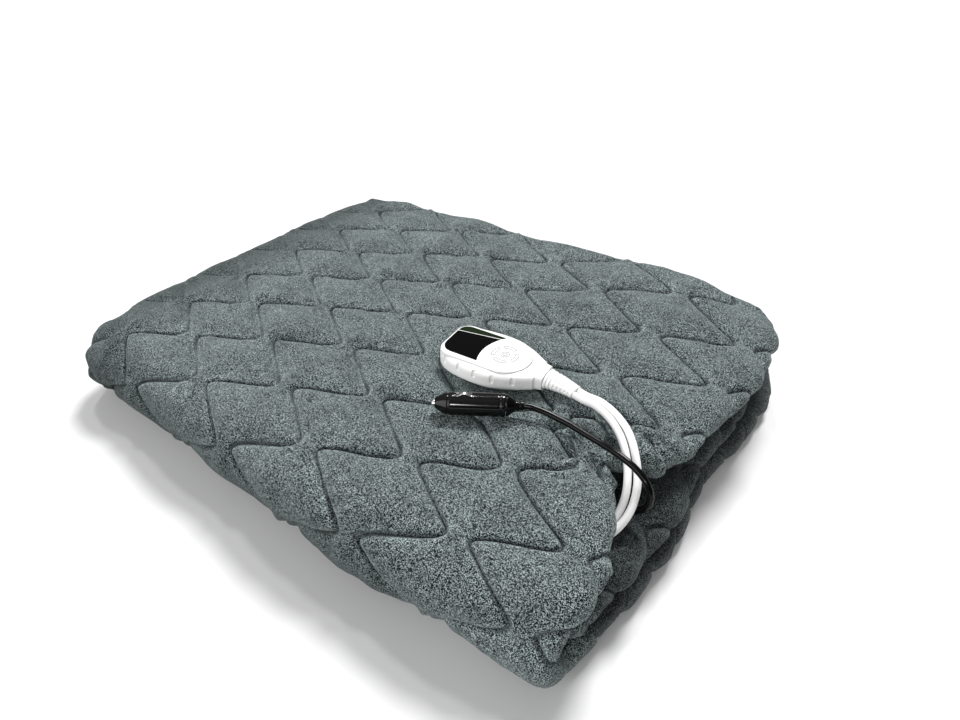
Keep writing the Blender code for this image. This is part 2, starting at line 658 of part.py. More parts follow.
# ---- plug ------------------------------------------------------------------------------------------
def plug_body():
    """Turned body whose barrel has lengthwise flats, with a blind bore for the pin."""
    segments = BODY_RIBS * 4
    bore = PIN_RADIUS + FIT
    depth = PIN_LENGTH + PIN_TRAVEL + FIT
    profile = [(PIN_OUT + depth, 0), (PIN_OUT + depth, bore), (PIN_OUT, bore),
               (PIN_OUT, bore + 0.9 * MM), (PIN_OUT + 1.2 * MM, 5.0 * MM), (NOSE_END - 2 * MM, 8.6 * MM),
               (NOSE_END, 9.6 * MM), (NOSE_END + 6 * MM, PLUG_RADIUS), (BODY_END - 1.2 * MM, PLUG_RADIUS),
               (BODY_END, PLUG_RADIUS - 0.8 * MM), (BODY_END, 0)]
    bm = turned(profile, segments)
    for v in bm.verts:
        radius = math.hypot(v.co.y, v.co.z)
        if radius > PLUG_RADIUS - 0.2 * MM:
            turn = math.atan2(v.co.z, v.co.y) * BODY_RIBS
            shrink = 1 - 0.035 * (0.5 - 0.5 * math.cos(turn))
            v.co.y *= shrink
            v.co.z *= shrink
    return bm


def plug_pin():
    dome = 1.2 * MM
    profile = [(0, 0), (0.25 * MM, 1.6 * MM), (dome, PIN_RADIUS - 0.7 * MM), (dome + 0.4 * MM, PIN_RADIUS),
               (PIN_OUT + PIN_LENGTH, PIN_RADIUS), (PIN_OUT + PIN_LENGTH, 0)]
    return turned(profile, 24)


def plug_contact():
    """A springy leaf on top of the barrel, bowed up in the middle."""
    thick = 0.5 * MM
    seat = PLUG_RADIUS + FIT
    half = CONTACT_WIDTH / 2
    rings = []
    steps = 8
    for k in range(steps + 1):
        t = k / steps
        x = CONTACT_START + (CONTACT_END - CONTACT_START) * t
        z = seat + CONTACT_RISE * math.sin(math.pi * t) ** 1.3
        rings.append([(x, -half, z), (x, half, z), (x, half, z + thick), (x, -half, z + thick)])
    return loft(rings)


def build_plug():
    frame = placed(PLUG_TIP, PLUG_TURN)
    new_object("plug_body", plug_body(), "black_plastic", frame)
    new_object("plug_pin", plug_pin(), "nickel", frame)
    new_object("plug_contact", plug_contact(), "nickel", frame)
    start = BODY_END + FIT
    profile = [(start, 0), (start, 9.4 * MM), (start + 1.2 * MM, 9.6 * MM), (COLLAR_END, 5.6 * MM),
               (COLLAR_END + 0.6 * MM, SLEEVE_RADIUS + 0.5 * MM), (COLLAR_END + 1 * MM, SLEEVE_RADIUS),
               (SLEEVE_END, SLEEVE_RADIUS - 0.4 * MM), (SLEEVE_END, 0)]
    new_object("plug_collar", turned(profile, 28), "black_rubber", frame)


# ---- leads -----------------------------------------------------------------------------------------
def smooth_route(start, points, step):
    """The start, then points at an even step along a smooth curve through the route's own points."""
    ends = [start] + points + [points[-1] * 2 - points[-2]]
    fine = []
    for p0, p1, p2, p3 in zip(ends, ends[1:], ends[2:], ends[3:]):
        for k in range(40):
            t = k / 40
            fine.append(0.5 * (2 * p1 + (p2 - p0) * t + (2 * p0 - 5 * p1 + 4 * p2 - p3) * t ** 2
                               + (3 * p1 - p0 - 3 * p2 + p3) * t ** 3))
    fine.append(points[-1])
    length = sum((b - a).length for a, b in zip(fine, fine[1:]))
    count = max(2, round(length / step))
    picked, travelled, wanted = [start, fine[0]], 0.0, 1
    for a, b in zip(fine, fine[1:]):
        reach = (b - a).length
        while wanted < count and travelled + reach >= wanted * length / count:
            picked.append(a.lerp(b, (wanted * length / count - travelled) / reach))
            wanted += 1
        travelled += reach
    return picked + [fine[-1]]


def route_points(route, start, lead_out):
    """The route in metres, led out of its boot or sleeve along that piece's own axis."""
    points = [Vector((x * MM, y * MM, TOP_LEVEL + z * MM)) for x, y, z in route]
    return [start + lead_out] + points


def build_lead(name, route, start, lead_out, diameter, colour):
    curve = bpy.data.curves.new(name, "CURVE")
    curve.dimensions = "3D"
    curve.bevel_depth = diameter / 2
    curve.bevel_resolution = 3
    curve.use_fill_caps = True
    spline = curve.splines.new("POLY")
    picked = smooth_route(start, route_points(route, start, lead_out), LEAD_STEP * diameter)
    spline.points.add(len(picked) - 1)
    for point, place in zip(spline.points, picked):
        point.co = (*place, 1.0)
    curve.materials.append(material(colour))
    obj = bpy.data.objects.new(name, curve)
    bpy.context.scene.collection.objects.link(obj)
    return obj


def build_leads():
    frame = placed(CONTROLLER_TIP, CONTROLLER_TURN)
    lean = math.atan2(2 * BOOT_BEND, BOOT_LENGTH)
    heading = (frame.to_3x3() @ Vector((math.cos(lean), math.sin(lean), 0))).normalized()
    end = frame @ Vector((CONTROLLER_LENGTH + FIT + BOOT_LENGTH, BOOT_BEND, BOOT_RISE[1]))
    beside = heading.cross(Vector((0, 0, 1)))
    spread = WHITE_LEAD / 2 + 0.25 * MM
    for name, route, side in (("white_lead_1", WHITE_ROUTE_1, -1), ("white_lead_2", WHITE_ROUTE_2, 1)):
        start = end + heading * FIT + beside * side * spread
        build_lead(name, route, start, heading * WHITE_OUT * WHITE_LEAD, WHITE_LEAD, "white_rubber")
    plug = placed(PLUG_TIP, PLUG_TURN)
    heading = plug.to_3x3() @ Vector((1, 0, 0))
    start = plug @ Vector((SLEEVE_END + FIT, 0, 0))
    build_lead("black_lead", BLACK_ROUTE, start, heading * BLACK_OUT * BLACK_LEAD, BLACK_LEAD, "black_rubber")


def centre_pack():
    """Moves everything so that the origin is in the middle of the pack's footprint."""
    for obj in bpy.context.scene.objects:
        obj.matrix_world = Matrix.Translation(-PACK_CENTRE) @ obj.matrix_world


def main():
    clear_scene()
    build_blanket()
    build_controller()
    build_plug()
    build_leads()
    centre_pack()


main()
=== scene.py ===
import math
from collections import namedtuple

import bmesh
import bpy
import numpy as np
from mathutils import Matrix, Vector


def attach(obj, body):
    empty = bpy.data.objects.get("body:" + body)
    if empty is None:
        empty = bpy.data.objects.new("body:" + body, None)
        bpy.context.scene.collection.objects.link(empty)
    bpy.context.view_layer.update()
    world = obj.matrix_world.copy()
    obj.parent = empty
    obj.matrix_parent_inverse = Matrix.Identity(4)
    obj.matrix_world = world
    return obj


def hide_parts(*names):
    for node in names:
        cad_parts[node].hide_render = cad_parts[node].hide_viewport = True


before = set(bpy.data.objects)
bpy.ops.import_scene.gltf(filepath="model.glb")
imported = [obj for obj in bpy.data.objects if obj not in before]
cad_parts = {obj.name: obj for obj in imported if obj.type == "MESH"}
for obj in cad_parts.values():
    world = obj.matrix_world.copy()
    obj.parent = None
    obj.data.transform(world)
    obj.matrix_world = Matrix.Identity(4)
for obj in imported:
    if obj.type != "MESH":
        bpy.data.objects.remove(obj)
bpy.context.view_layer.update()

MM = 0.001

# ---- the folded cloth: the part's own dimensions, in millimetres ----
PACK_HEIGHT = 88.0
LEAF_AT_SEAM, PUFF, LEAF_PLAIN, LEAF_GAP, LAYER_GAP = 4.5, 7.5, 10.5, 1.5, 2.5
OUTER = LEAF_GAP / 2 + LEAF_AT_SEAM + PUFF
INNER = LEAF_GAP / 2 + LEAF_PLAIN
SEAM_PITCH, SEAM_SWING, STROKE, SEAM_X0, TIP_Y0 = 77.5, 28.5, 39.4, -147.5, 155.5
FRONT_Y = TIP_Y0 - 9 * STROKE
BACK_EDGE_Y, BACK_FOLD_Y, INNER_END_Y = 240.5, 219.0, FRONT_Y - 4
PACK_CENTRE = (1.1, 5.2)
FOLD_X, HEM_X = 307.0, -325.0
BOTTOM_Z = OUTER
BACK_RADIUS = (2 * INNER + LAYER_GAP) / 2
INNER_Z = BOTTOM_Z + 2 * BACK_RADIUS
TOP_Z = PACK_HEIGHT - OUTER
FRONT_RADIUS = (TOP_Z - BOTTOM_Z) / 2
FRONT_Z = (TOP_Z + BOTTOM_Z) / 2
TOP_EDGE = ((-240, 298), (-190, 305), (-158, 304), (-120, 289), (-100, 282), (-81, 272), (-62, 256),
            (-42, 294), (-5, 309), (108, 325), (185, 321), (215, 311), (240, 290))
LOWER_EDGE = ((-240, 299), (-215, 302), (-160, 309), (-118, 316), (-58, 323), (24, 318), (110, 331),
              (175, 333), (225, 321), (245, 304))
HEM_EDGE = ((-243, -273), (-193, -303), (-138, -322), (-15, -327), (173, -330), (240, -319))
INNER_SET_BACK, INNER_SET_BACK_REAR, EDGE_REACH = 4.0, 11.0, 130.0
HEM_SET_BACK, HEM_TAPER, HEM_THIN = 7.0, 12.0, 0.45
HEM_SAG, END_DROOP, FRONT_TUCK = 9.0, 0.14, 15.0
BACK_SPREAD, BACK_LIFT, BACK_AT, BACK_WIDTH = 11.0, 8.0, (170.0, 215.0), 95.0
WAVE, HOLLOW_DEPTH, HOLLOW_AT, HOLLOW_SPREAD = 3.0, 7.0, (236.0, -56.0), 26.0
UPPER_FROM, UPPER_OVER = 0.34 * PACK_HEIGHT, 0.36 * PACK_HEIGHT        # levels over which settling sets in

# ---- controller, plug and leads, as the part has them ----
TOP_LEVEL = PACK_HEIGHT
CONTROLLER_TIP = (61.8, -31.4, TOP_LEVEL - 3)
CONTROLLER_TURN, CONTROLLER_LENGTH, CONTROLLER_HALF = math.radians(6.0), 106.0, 22.0
PLUG_TIP = (104.9, -109.5, TOP_LEVEL + 8.4)
PLUG_TURN, PLUG_RADIUS, SLEEVE_END = math.radians(33.4), 10.4, 80.5
BOOT_LENGTH, BOOT_BEND, BOOT_END_Z = 30.0, -4.0, 9.0
FIT = 0.3
WHITE_LEAD, BLACK_LEAD, WHITE_OUT, BLACK_OUT = 6.4, 5.6, 1.5, 0.6
WHITE_ROUTE_1 = ((221.5, -19.5, 6.6), (239, -25.5, 5.8), (256, -37.5, 5.2), (269.3, -52.6, 2.5),
                 (279.8, -67, -5), (286, -81.5, -13.5), (287, -96, -22.5), (282, -111.5, -30.3),
                 (270, -126.5, -33), (255, -140, -33))
WHITE_ROUTE_2 = ((220, -26.5, 6.2), (236, -32, 5.0), (251.5, -43.2, 3.4), (264.8, -57.8, -0.5),
                 (273.8, -71.2, -8.4), (279, -84.4, -17.4), (279.2, -97.5, -26.6),
                 (273.5, -110.5, -32.6), (261.5, -123.5, -34), (247, -136, -34))
BLACK_ROUTE = ((188.7, -60.0, 6.8), (197, -59.1, 5.8), (213, -58.8, 4.8), (229.5, -60.9, 4.6),
               (246, -63.4, 5.2), (262.7, -68.0, 6.8), (278, -71.6, 5.2), (289.5, -74.6, -0.5),
               (296, -77, -9.5), (296.6, -79.5, -18.5), (290.5, -82, -26), (279, -83.5, -30.5),
               (262, -84.8, -31.5), (246, -87, -31.5))


# ---- camera, floor and lights ----
CAMERA_AT, CAMERA_TILT, CAMERA_TURN = (0.36915, -0.40221, 0.440), 52.6, 36.5
LENS, SENSOR_WIDTH = 22.5, 36.0
SKY_LOW, SKY_HIGH, SKY_SIDE, BACKDROP = 0.08, 0.55, 0.20, 0.95
FLOOR_REACH, FLOOR_SHADE, FLOOR_ROUGH = 6.0, 0.72, 0.9
# name, azimuth (0 is +X and 90 is +Y), elevation and spread in degrees, strength
SUNS = (("key", 104, 51, 16, 3.75), ("fill", 248, 19, 60, 1.85),
        ("edge", 136, 59, 6, 0.60), ("strip", 294, 30, 9, 0.75))


def linked(name, data):
    """A new object, in the scene."""
    obj = bpy.data.objects.new(name, data)
    bpy.context.scene.collection.objects.link(obj)
    return obj


def fill(node, **values):
    """Sets a node's own sockets by name, with _ for a space."""
    for key, value in values.items():
        node.inputs[key.replace("_", " ")].default_value = value


def make_camera():
    data = bpy.data.cameras.new("camera")
    data.lens, data.sensor_width = LENS, SENSOR_WIDTH
    cam = linked("camera", data)
    cam.location = CAMERA_AT
    cam.rotation_euler = (math.radians(CAMERA_TILT), 0.0, math.radians(CAMERA_TURN))
    bpy.context.scene.camera = cam


def sun_light(name, azimuth, elevation, spread, strength):
    data = bpy.data.lights.new(name, "SUN")
    data.angle, data.energy = math.radians(spread), strength
    a, e = math.radians(azimuth), math.radians(elevation)
    towards = Vector((math.cos(a) * math.cos(e), math.sin(a) * math.cos(e), math.sin(e)))
    linked(name, data).rotation_euler = towards.to_track_quat("Z", "Y").to_euler()


def make_world():
    """Soft light from above that fades towards the horizon and towards +X, behind a pale backdrop."""
    world = bpy.data.worlds.new("studio")
    world.use_nodes = True
    tree = world.node_tree
    back = tree.nodes["Background"]
    fill(back, Color=(1, 1, 1, 1))
    place = tree.nodes.new("ShaderNodeTexCoord")
    direction = tree.nodes.new("ShaderNodeSeparateXYZ")
    tree.links.new(place.outputs["Generated"], direction.inputs[0])
    both = tree.nodes.new("ShaderNodeMath")
    both.operation = "MULTIPLY"
    for k, (axis, start, low, high) in enumerate((("Z", 0.0, SKY_LOW, SKY_HIGH), ("X", -0.3, 1.0, SKY_SIDE))):
        fade = tree.nodes.new("ShaderNodeMapRange")
        fill(fade, From_Min=start, From_Max=1.0, To_Min=low, To_Max=high)
        tree.links.new(direction.outputs[axis], fade.inputs["Value"])
        tree.links.new(fade.outputs["Result"], both.inputs[k])
    path = tree.nodes.new("ShaderNodeLightPath")
    seen = tree.nodes.new("ShaderNodeMix")
    seen.inputs["B"].default_value = BACKDROP
    tree.links.new(both.outputs[0], seen.inputs["A"])
    tree.links.new(path.outputs["Is Camera Ray"], seen.inputs["Factor"])
    tree.links.new(seen.outputs["Result"], back.inputs["Strength"])
    bpy.context.scene.world = world


def make_stage():
    make_world()
    bpy.context.scene.view_settings.view_transform = "Standard"
    for sun in SUNS:
        sun_light(*sun)
    mesh = bpy.data.meshes.new("floor")
    corners = [(x * FLOOR_REACH, y * FLOOR_REACH, 0) for x, y in ((-1, -1), (1, -1), (1, 1), (-1, 1))]
    mesh.from_pydata(corners, [], [(0, 1, 2, 3)])
    floor = linked("floor", mesh)
    mat = bpy.data.materials.new("floor")
    mat.use_nodes = True
    fill(mat.node_tree.nodes["Principled BSDF"], Base_Color=(FLOOR_SHADE, FLOOR_SHADE, FLOOR_SHADE, 1),
         Roughness=FLOOR_ROUGH)
    mesh.materials.append(mat)


# ---- node materials ----
class Shader:
    """A Principled material, with short calls to add nodes to it."""

    def __init__(self, name, **sockets):
        self.mat = bpy.data.materials.new(name)
        self.mat.use_nodes = True
        self.tree = self.mat.node_tree
        self.bsdf = self.tree.nodes["Principled BSDF"]
        fill(self.bsdf, **sockets)
        self.place = self.node("ShaderNodeTexCoord").outputs["Object"]

    def node(self, kind, **settings):
        made = self.tree.nodes.new(kind)
        for key, value in settings.items():
            setattr(made, key, value)
        return made

    def put(self, value, socket):
        if isinstance(value, bpy.types.NodeSocket):
            self.tree.links.new(value, socket)
        else:
            socket.default_value = value

    def math(self, operation, a, b):
        made = self.node("ShaderNodeMath", operation=operation)
        self.put(a, made.inputs[0])
        self.put(b, made.inputs[1])
        return made.outputs[0]

    def noise(self, scale, detail, rough, distortion=0.0):
        made = self.node("ShaderNodeTexNoise")
        self.put(self.place, made.inputs["Vector"])
        fill(made, Scale=scale, Detail=detail, Roughness=rough, Distortion=distortion)
        return made.outputs["Fac"]

    def ramp(self, value, stops):
        made = self.node("ShaderNodeValToRGB")
        self.put(value, made.inputs["Fac"])
        elements = made.color_ramp.elements
        for k, (at, colour) in enumerate(stops):
            stop = elements[k] if k < 2 else elements.new(at)
            stop.position, stop.color = at, (*colour, 1)
        return made.outputs["Color"]

    def level(self, value, low, high, to_low, to_high):
        made = self.node("ShaderNodeMapRange")
        self.put(value, made.inputs["Value"])
        fill(made, From_Min=low, From_Max=high, To_Min=to_low, To_Max=to_high)
        return made.outputs["Result"]

    def attribute(self, name):
        return self.node("ShaderNodeAttribute", attribute_name=name).outputs["Fac"]

    def bump(self, height, distance, strength):
        made = self.node("ShaderNodeBump")
        fill(made, Strength=strength, Distance=distance)
        self.put(height, made.inputs["Height"])
        return made.outputs["Normal"]

    def set(self, socket, value):
        self.put(value, self.bsdf.inputs[socket])


# The fleece's speckle: two noises mixed, and the colours from its hollows to its tips.
SPECKLE_FINE, SPECKLE_CLUMP, SPECKLE_SHIFT = 0.78, 0.34, 0.06
SPECKLE_COLOURS = ((0.43, (0.001, 0.002, 0.002)), (0.485, (0.018, 0.026, 0.026)),
                   (0.525, (0.073, 0.096, 0.095)), (0.58, (0.43, 0.505, 0.505)))
# Painted shade and highlight by distance from a seam, as a share of SEAM_REACH millimetres: painted shade in the
# stitching, a painted highlight beside it.
SEAM_REACH = 9.0
SEAM_PAINTED_LIGHT = ((0.0, 0.30), (0.20, 0.80), (0.34, 1.10), (0.90, 0.84))
SHEEN_TINT = (0.75, 0.85, 0.85, 1)
FLEECE_BUMP, MOULD_GRAIN, MOULD_DEPTH, GLOSS_DEPTH, PANE_DEPTH = 0.0010, 1400, 0.00001, 0.000004, 0.000001


def fleece_material():
    """Short coral pile: salt-and-pepper clumps, brushing patches, painted shade on the lower layers and hemmed end,
    and painted shade and highlight along the seams.
    """
    s = Shader("fleece", Roughness=0.92, Specular_IOR_Level=0.10, Sheen_Weight=0.20, Sheen_Roughness=0.4,
               Sheen_Tint=SHEEN_TINT)
    fine = s.math("MULTIPLY", s.noise(1500, 1.0, 0.6), SPECKLE_FINE)
    clump = s.math("MULTIPLY", s.noise(760, 1.0, 0.5, distortion=0.8), SPECKLE_CLUMP)
    speckle = s.math("SUBTRACT", s.math("ADD", fine, clump), SPECKLE_SHIFT)
    strokes = s.level(s.noise(24, 3.0, 0.6), 0.3, 0.7, 0.86, 1.14)
    patches = s.level(s.noise(90, 2.0, 0.6), 0.3, 0.7, 0.87, 1.13)
    # Painted shade from the point values, times the pile's own brushing patches and strokes.
    painted_shade_and_brushing = s.math("MULTIPLY", s.attribute("painted_shade"), s.math("MULTIPLY", patches, strokes))
    # Painted shade in the stitching and a painted highlight beside it.
    seam = s.ramp(s.math("DIVIDE", s.attribute("crease"), SEAM_REACH), [(at, (k, k, k)) for at, k in SEAM_PAINTED_LIGHT])
    scaled = s.node("ShaderNodeVectorMath", operation="SCALE")
    s.put(s.ramp(speckle, SPECKLE_COLOURS), scaled.inputs[0])
    s.put(s.math("MULTIPLY", seam, painted_shade_and_brushing), scaled.inputs["Scale"])
    s.set("Base Color", scaled.outputs[0])
    s.set("Normal", s.bump(speckle, FLEECE_BUMP, 1.0))
    return s.mat


def plastic_material(name, colour, rough, depth=MOULD_DEPTH, **sockets):
    """Moulded plastic or rubber: a very fine mould grain, and handling marks in its gloss."""
    s = Shader(name, Roughness=rough, **sockets)
    wear = s.noise(60, 4.0, 0.6)
    s.set("Base Color", s.ramp(wear, ((0.3, tuple(c * 0.93 for c in colour)), (0.7, colour))))
    s.set("Roughness", s.level(wear, 0.3, 0.7, rough * 0.8, rough * 1.25))
    s.set("Normal", s.bump(s.noise(MOULD_GRAIN, 2.0, 0.5), depth, 0.6))
    return s.mat


def metal_material():
    s = Shader("nickel", Metallic=1.0, Roughness=0.2)
    wear = s.noise(300, 4.0, 0.6)
    s.set("Base Color", s.ramp(wear, ((0.3, (0.55, 0.54, 0.52)), (0.7, (0.80, 0.79, 0.77)))))
    s.set("Roughness", s.level(wear, 0.3, 0.7, 0.12, 0.32))
    return s.mat


# ---- shared mesh helpers ----
def ease(t):
    t = np.clip(t, 0.0, 1.0)
    return t * t * (3 - 2 * t)


def blend(low, high, share):
    return low + (high - low) * share


def bell(t, width, power=2):
    return np.exp(-(t / width) ** power)


def plan_gap(x, y, place):
    return np.hypot(x - place[0], y - place[1])


def table_curve(table, at):
    """A smooth curve through (place, value) pairs, read at many places."""
    xs, ys = np.array(table, dtype=float).T
    slopes = np.gradient(ys, xs)
    k = np.clip(np.searchsorted(xs, at) - 1, 0, len(xs) - 2)
    span = xs[k + 1] - xs[k]
    t = np.clip((at - xs[k]) / span, 0, 1)
    return (ys[k] * (1 + 2 * t) * (1 - t) ** 2 + slopes[k] * span * t * (1 - t) ** 2
            + ys[k + 1] * t * t * (3 - 2 * t) + slopes[k + 1] * span * t * t * (t - 1))


def turns(count):
    return np.linspace(0, 2 * math.pi, count, endpoint=False)


def squared(wave, power):
    """A sine or cosine, flattened at its ends by a power under 1."""
    return np.sign(wave) * np.abs(wave) ** power


def angle_from(turn, centre):
    """Degrees between turns in radians and a centre in degrees."""
    return np.degrees(np.arccos(np.clip(np.cos(turn - math.radians(centre)), -1, 1)))


def placed(tip, turn):
    return Matrix.Translation(Vector(tip)) @ Matrix.Rotation(turn, 4, "Z")


def to_row(points):
    """Plan millimetres to the row frame's metres."""
    return (np.asarray(points, dtype=float) - np.array((*PACK_CENTRE, 0.0))) * MM


def add_piece(name, mesh, mats, body, node, slot, sharp=None):
    """Puts a finished mesh in the scene, in its slot's material and in place of the named CAD node."""
    mesh.shade_smooth()
    if sharp:
        mesh.set_sharp_from_angle(angle=math.radians(sharp))
    mesh.materials.clear()
    mesh.materials.append(mats[slot])
    obj = linked(name, mesh)
    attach(obj, body)
    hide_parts(node)
    return obj


def closed_mesh(name, verts, faces):
    """A mesh whose faces all look outwards."""
    mesh = bpy.data.meshes.new(name)
    mesh.from_pydata(verts.tolist(), [], faces)
    bm = bmesh.new()
    bm.from_mesh(mesh)
    bmesh.ops.recalc_face_normals(bm, faces=bm.faces)
    bm.to_mesh(mesh)
    bm.free()
    return mesh


def tube_mesh(name, rings, place):
    """A closed skin over rings of points, given in a piece's own millimetres."""
    rings = np.asarray(rings, dtype=float)
    stations, around, _ = rings.shape
    flat = np.concatenate((rings.reshape(-1, 3), rings[:1].mean(axis=1), rings[-1:].mean(axis=1)))
    verts = to_row(flat @ np.array(place.to_3x3()).T + np.array(place.translation))
    last, first_cap, last_cap = (stations - 1) * around, stations * around, stations * around + 1
    faces = [(a + k, a + (k + 1) % around, a + around + (k + 1) % around, a + around + k)
             for a in range(0, last, around) for k in range(around)]
    for k in range(around):
        n = (k + 1) % around
        faces += [(n, k, first_cap), (last + k, last + n, last_cap)]
    return closed_mesh(name, verts, faces)


def wires(name, lines, radius, resolution, mat, closed=False):
    """Round wires of one radius in millimetres, along lines of points in the row frame's metres."""
    curve = bpy.data.curves.new(name, "CURVE")
    curve.dimensions = "3D"
    curve.bevel_depth, curve.bevel_resolution = radius * MM, resolution
    curve.use_fill_caps = not closed
    for line in lines:
        spline = curve.splines.new("POLY")
        spline.points.add(len(line) - 1)
        spline.use_cyclic_u, spline.use_smooth = closed, True
        for point, place in zip(spline.points, line):
            point.co = (*place, 1.0)
    curve.materials.append(mat)
    return linked(name, curve)


def worked_mesh(mesh, kind, **settings):
    """The mesh after one modifier."""
    obj = linked("work", mesh)
    modifier = obj.modifiers.new(kind.lower(), kind)
    for key, value in settings.items():
        setattr(modifier, key, value)
    made = bpy.data.meshes.new_from_object(obj.evaluated_get(bpy.context.evaluated_depsgraph_get()))
    bpy.data.objects.remove(obj)
    return made


def rounded_copy(name, node, mats, body, slot, width, segments=3):
    """A CAD node's own shape with its edges rounded."""
    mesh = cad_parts[node].data.copy()
    bm = bmesh.new()
    bm.from_mesh(mesh)
    bmesh.ops.remove_doubles(bm, verts=bm.verts, dist=0.00001)
    bmesh.ops.dissolve_limit(bm, angle_limit=math.radians(2), verts=bm.verts, edges=bm.edges)
    bm.to_mesh(mesh)
    bm.free()
    mesh = worked_mesh(mesh, "BEVEL", width=width * MM, segments=segments, limit_method="ANGLE",
                       angle_limit=math.radians(40))
    add_piece(name, mesh, mats, body, node, slot, sharp=10)


# ---- controller ----
SHELL_SECTIONS = ((0.0, 10.5, 7.5, 16.8), (1.2, 15.6, 5.0, 18.2), (4.0, 21.4, 2.0, 19.2), (9.0, 26.2, 0.6, 19.6),
                  (18.0, 30.2, 0.0, 19.8), (34.0, 33.2, 0.0, 19.8), (50.0, 33.8, 0.0, 19.8),
                  (62.0, 32.6, 0.0, 19.8), (73.0, 29.0, 0.2, 19.6), (83.0, 24.6, 0.6, 19.2),
                  (92.0, 19.4, 1.4, 18.6), (100.0, 14.9, 2.0, 18.3), (106.0, 13.4, 2.4, 18.2))
SHELL_SQUARE = 4.6
COVER_START, COVER_HALF, COVER_CORNER, PAD_CENTRE = 2.2, 25.8, 12.5, 62.5
POCKET_FLOOR, COVER_CLEARANCE, CUT_TOP, BUTTON_TOP = 16.1, 0.6, 30.0, 20.7
GRIP_NOTCHES = ((14.0, 15.0), (31.0, 15.4), (48.0, 15.2), (65.5, 14.2), (83.0, 13.4))    # along, height
NOTCH_HALF, NOTCH_RADIUS, NOTCH_DEPTH, NOTCH_SIDE = 2.6, 2.1, 1.25, 0.6
NECK_AT, NECK_INSET = 98.5, 1.3
CLOSE_STATIONS = 2.9            # mm to each side of a notch
MARK_RADIUS = 0.42
PAD_LOW, PAD_HIGH, PAD_SPREAD, PAD_CORNER = 9.5, 12.8, 33.0, 0.5
BOOT_RIBS = ((2.0, 1.3), (5.6, 1.3), (9.6, 1.25), (13.6, 1.2), (17.6, 1.15), (21.4, 1.1), (25.0, 1.0))
BOOT_BARS, BAR_WIDTH, BARS_FROM = (0, 38, 90, 142, 180, 225, 270, 315), 10, 8
# Half width, half height and middle of the boot, at the controller and at the leads.
BOOT_WIDE, BOOT_TALL, BOOT_MIDDLE, BOOT_TAPER, BOOT_SUNK = (12.9, 8.0), (7.5, 4.4), (10.4, BOOT_END_Z), 0.8, 1.25


def shell_ring(a, half, low, high, count=168):
    """One cross-section: a squared oval, with points closer together on its two sides."""
    t = np.linspace(0, 2 * math.pi, 2401)
    power = 2 / SHELL_SQUARE
    y = half * squared(np.cos(t), power)
    z = (low + high) / 2 + (high - low) / 2 * squared(np.sin(t), power)
    step = np.hypot(np.diff(y), np.diff(z)) * (1 + 1.8 * (np.abs(y[1:]) > 0.8 * half))
    along = np.concatenate(([0.0], np.cumsum(step)))
    wanted = np.linspace(0, along[-1], count, endpoint=False)
    return np.stack((np.full(count, a), np.interp(wanted, along, y), np.interp(wanted, along, z)), axis=1)


def shell_rings():
    spans = [(0, CONTROLLER_LENGTH, 90), (0, 6, 16), (NECK_AT - 1.2, NECK_AT + 1.8, 9)]
    spans += [(a - CLOSE_STATIONS, a + CLOSE_STATIONS, 15) for a, _ in GRIP_NOTCHES]
    stations = {round(float(a), 2) for low, high, count in spans for a in np.linspace(low, high, count)}
    places, *columns = zip(*SHELL_SECTIONS)
    rings = []
    for a in sorted(stations):
        half, low, high = (table_curve(list(zip(places, values)), a) for values in columns)
        ring = shell_ring(a, half, low, high)
        inset = NECK_INSET * ease(a - NECK_AT) * (np.abs(ring[:, 1]) > 0.6 * half)
        ring[:, 1] -= np.sign(ring[:, 1]) * inset
        for at, height in GRIP_NOTCHES:
            wrapped = ring[:, 2] + np.maximum(0.0, 0.985 * half + ring[:, 1])
            beyond = np.maximum(0.0, np.abs(wrapped - height) - NOTCH_HALF)
            gap = np.hypot(ring[:, 0] - at, beyond)
            depth = NOTCH_DEPTH * ease((NOTCH_RADIUS - gap) / 0.9) * (ring[:, 1] < -NOTCH_SIDE * half)
            ring[:, 1] += depth
            ring[:, 2] -= 0.5 * depth * ease((ring[:, 2] - 15) / 3)
        rings.append(ring)
    return rings


def cover_outline(grow):
    """The cover plate's outline: rounded corners at the display end, a round end at the button."""
    half, corner, start = COVER_HALF + grow, COVER_CORNER + grow, COVER_START - grow
    points = [(PAD_CENTRE + half * math.cos(t), half * math.sin(t))
              for t in np.radians(np.linspace(-90, 90, 61))]
    turn = [math.radians(9 * k) for k in range(11)]
    for side in (1, -1):
        bend = [(start + corner - corner * math.sin(t), side * (half - corner + corner * math.cos(t)))
                for t in turn]
        points += bend if side > 0 else bend[::-1]
    return points


def circle_points(radius):
    return [(radius * math.cos(t), radius * math.sin(t)) for t in turns(48)]


def sector_points(turn):
    """The outline of one raised pad: a sector of the ring with cut corners."""
    points = []
    for radius, inset, spread in ((PAD_HIGH, -PAD_CORNER, PAD_SPREAD), (PAD_LOW, PAD_CORNER, -0.94 * PAD_SPREAD)):
        angles = np.radians(turn + np.linspace(-spread, spread, 19))
        for k, angle in enumerate(angles):
            r = radius + (inset if k in (0, len(angles) - 1) else 0.0)
            points.append((r * math.cos(angle), r * math.sin(angle)))
    return points


def make_marks(name, outlines, place, mat, body):
    """Fine raised lines on the button or on the ring round it, in a grey that is painted shade."""
    lines = [to_row([tuple(place @ Vector((PAD_CENTRE + x, y, BUTTON_TOP))) for x, y in outline])
             for outline in outlines]
    obj = wires(name, lines, MARK_RADIUS, 2, mat, closed=True)
    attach(obj, body)


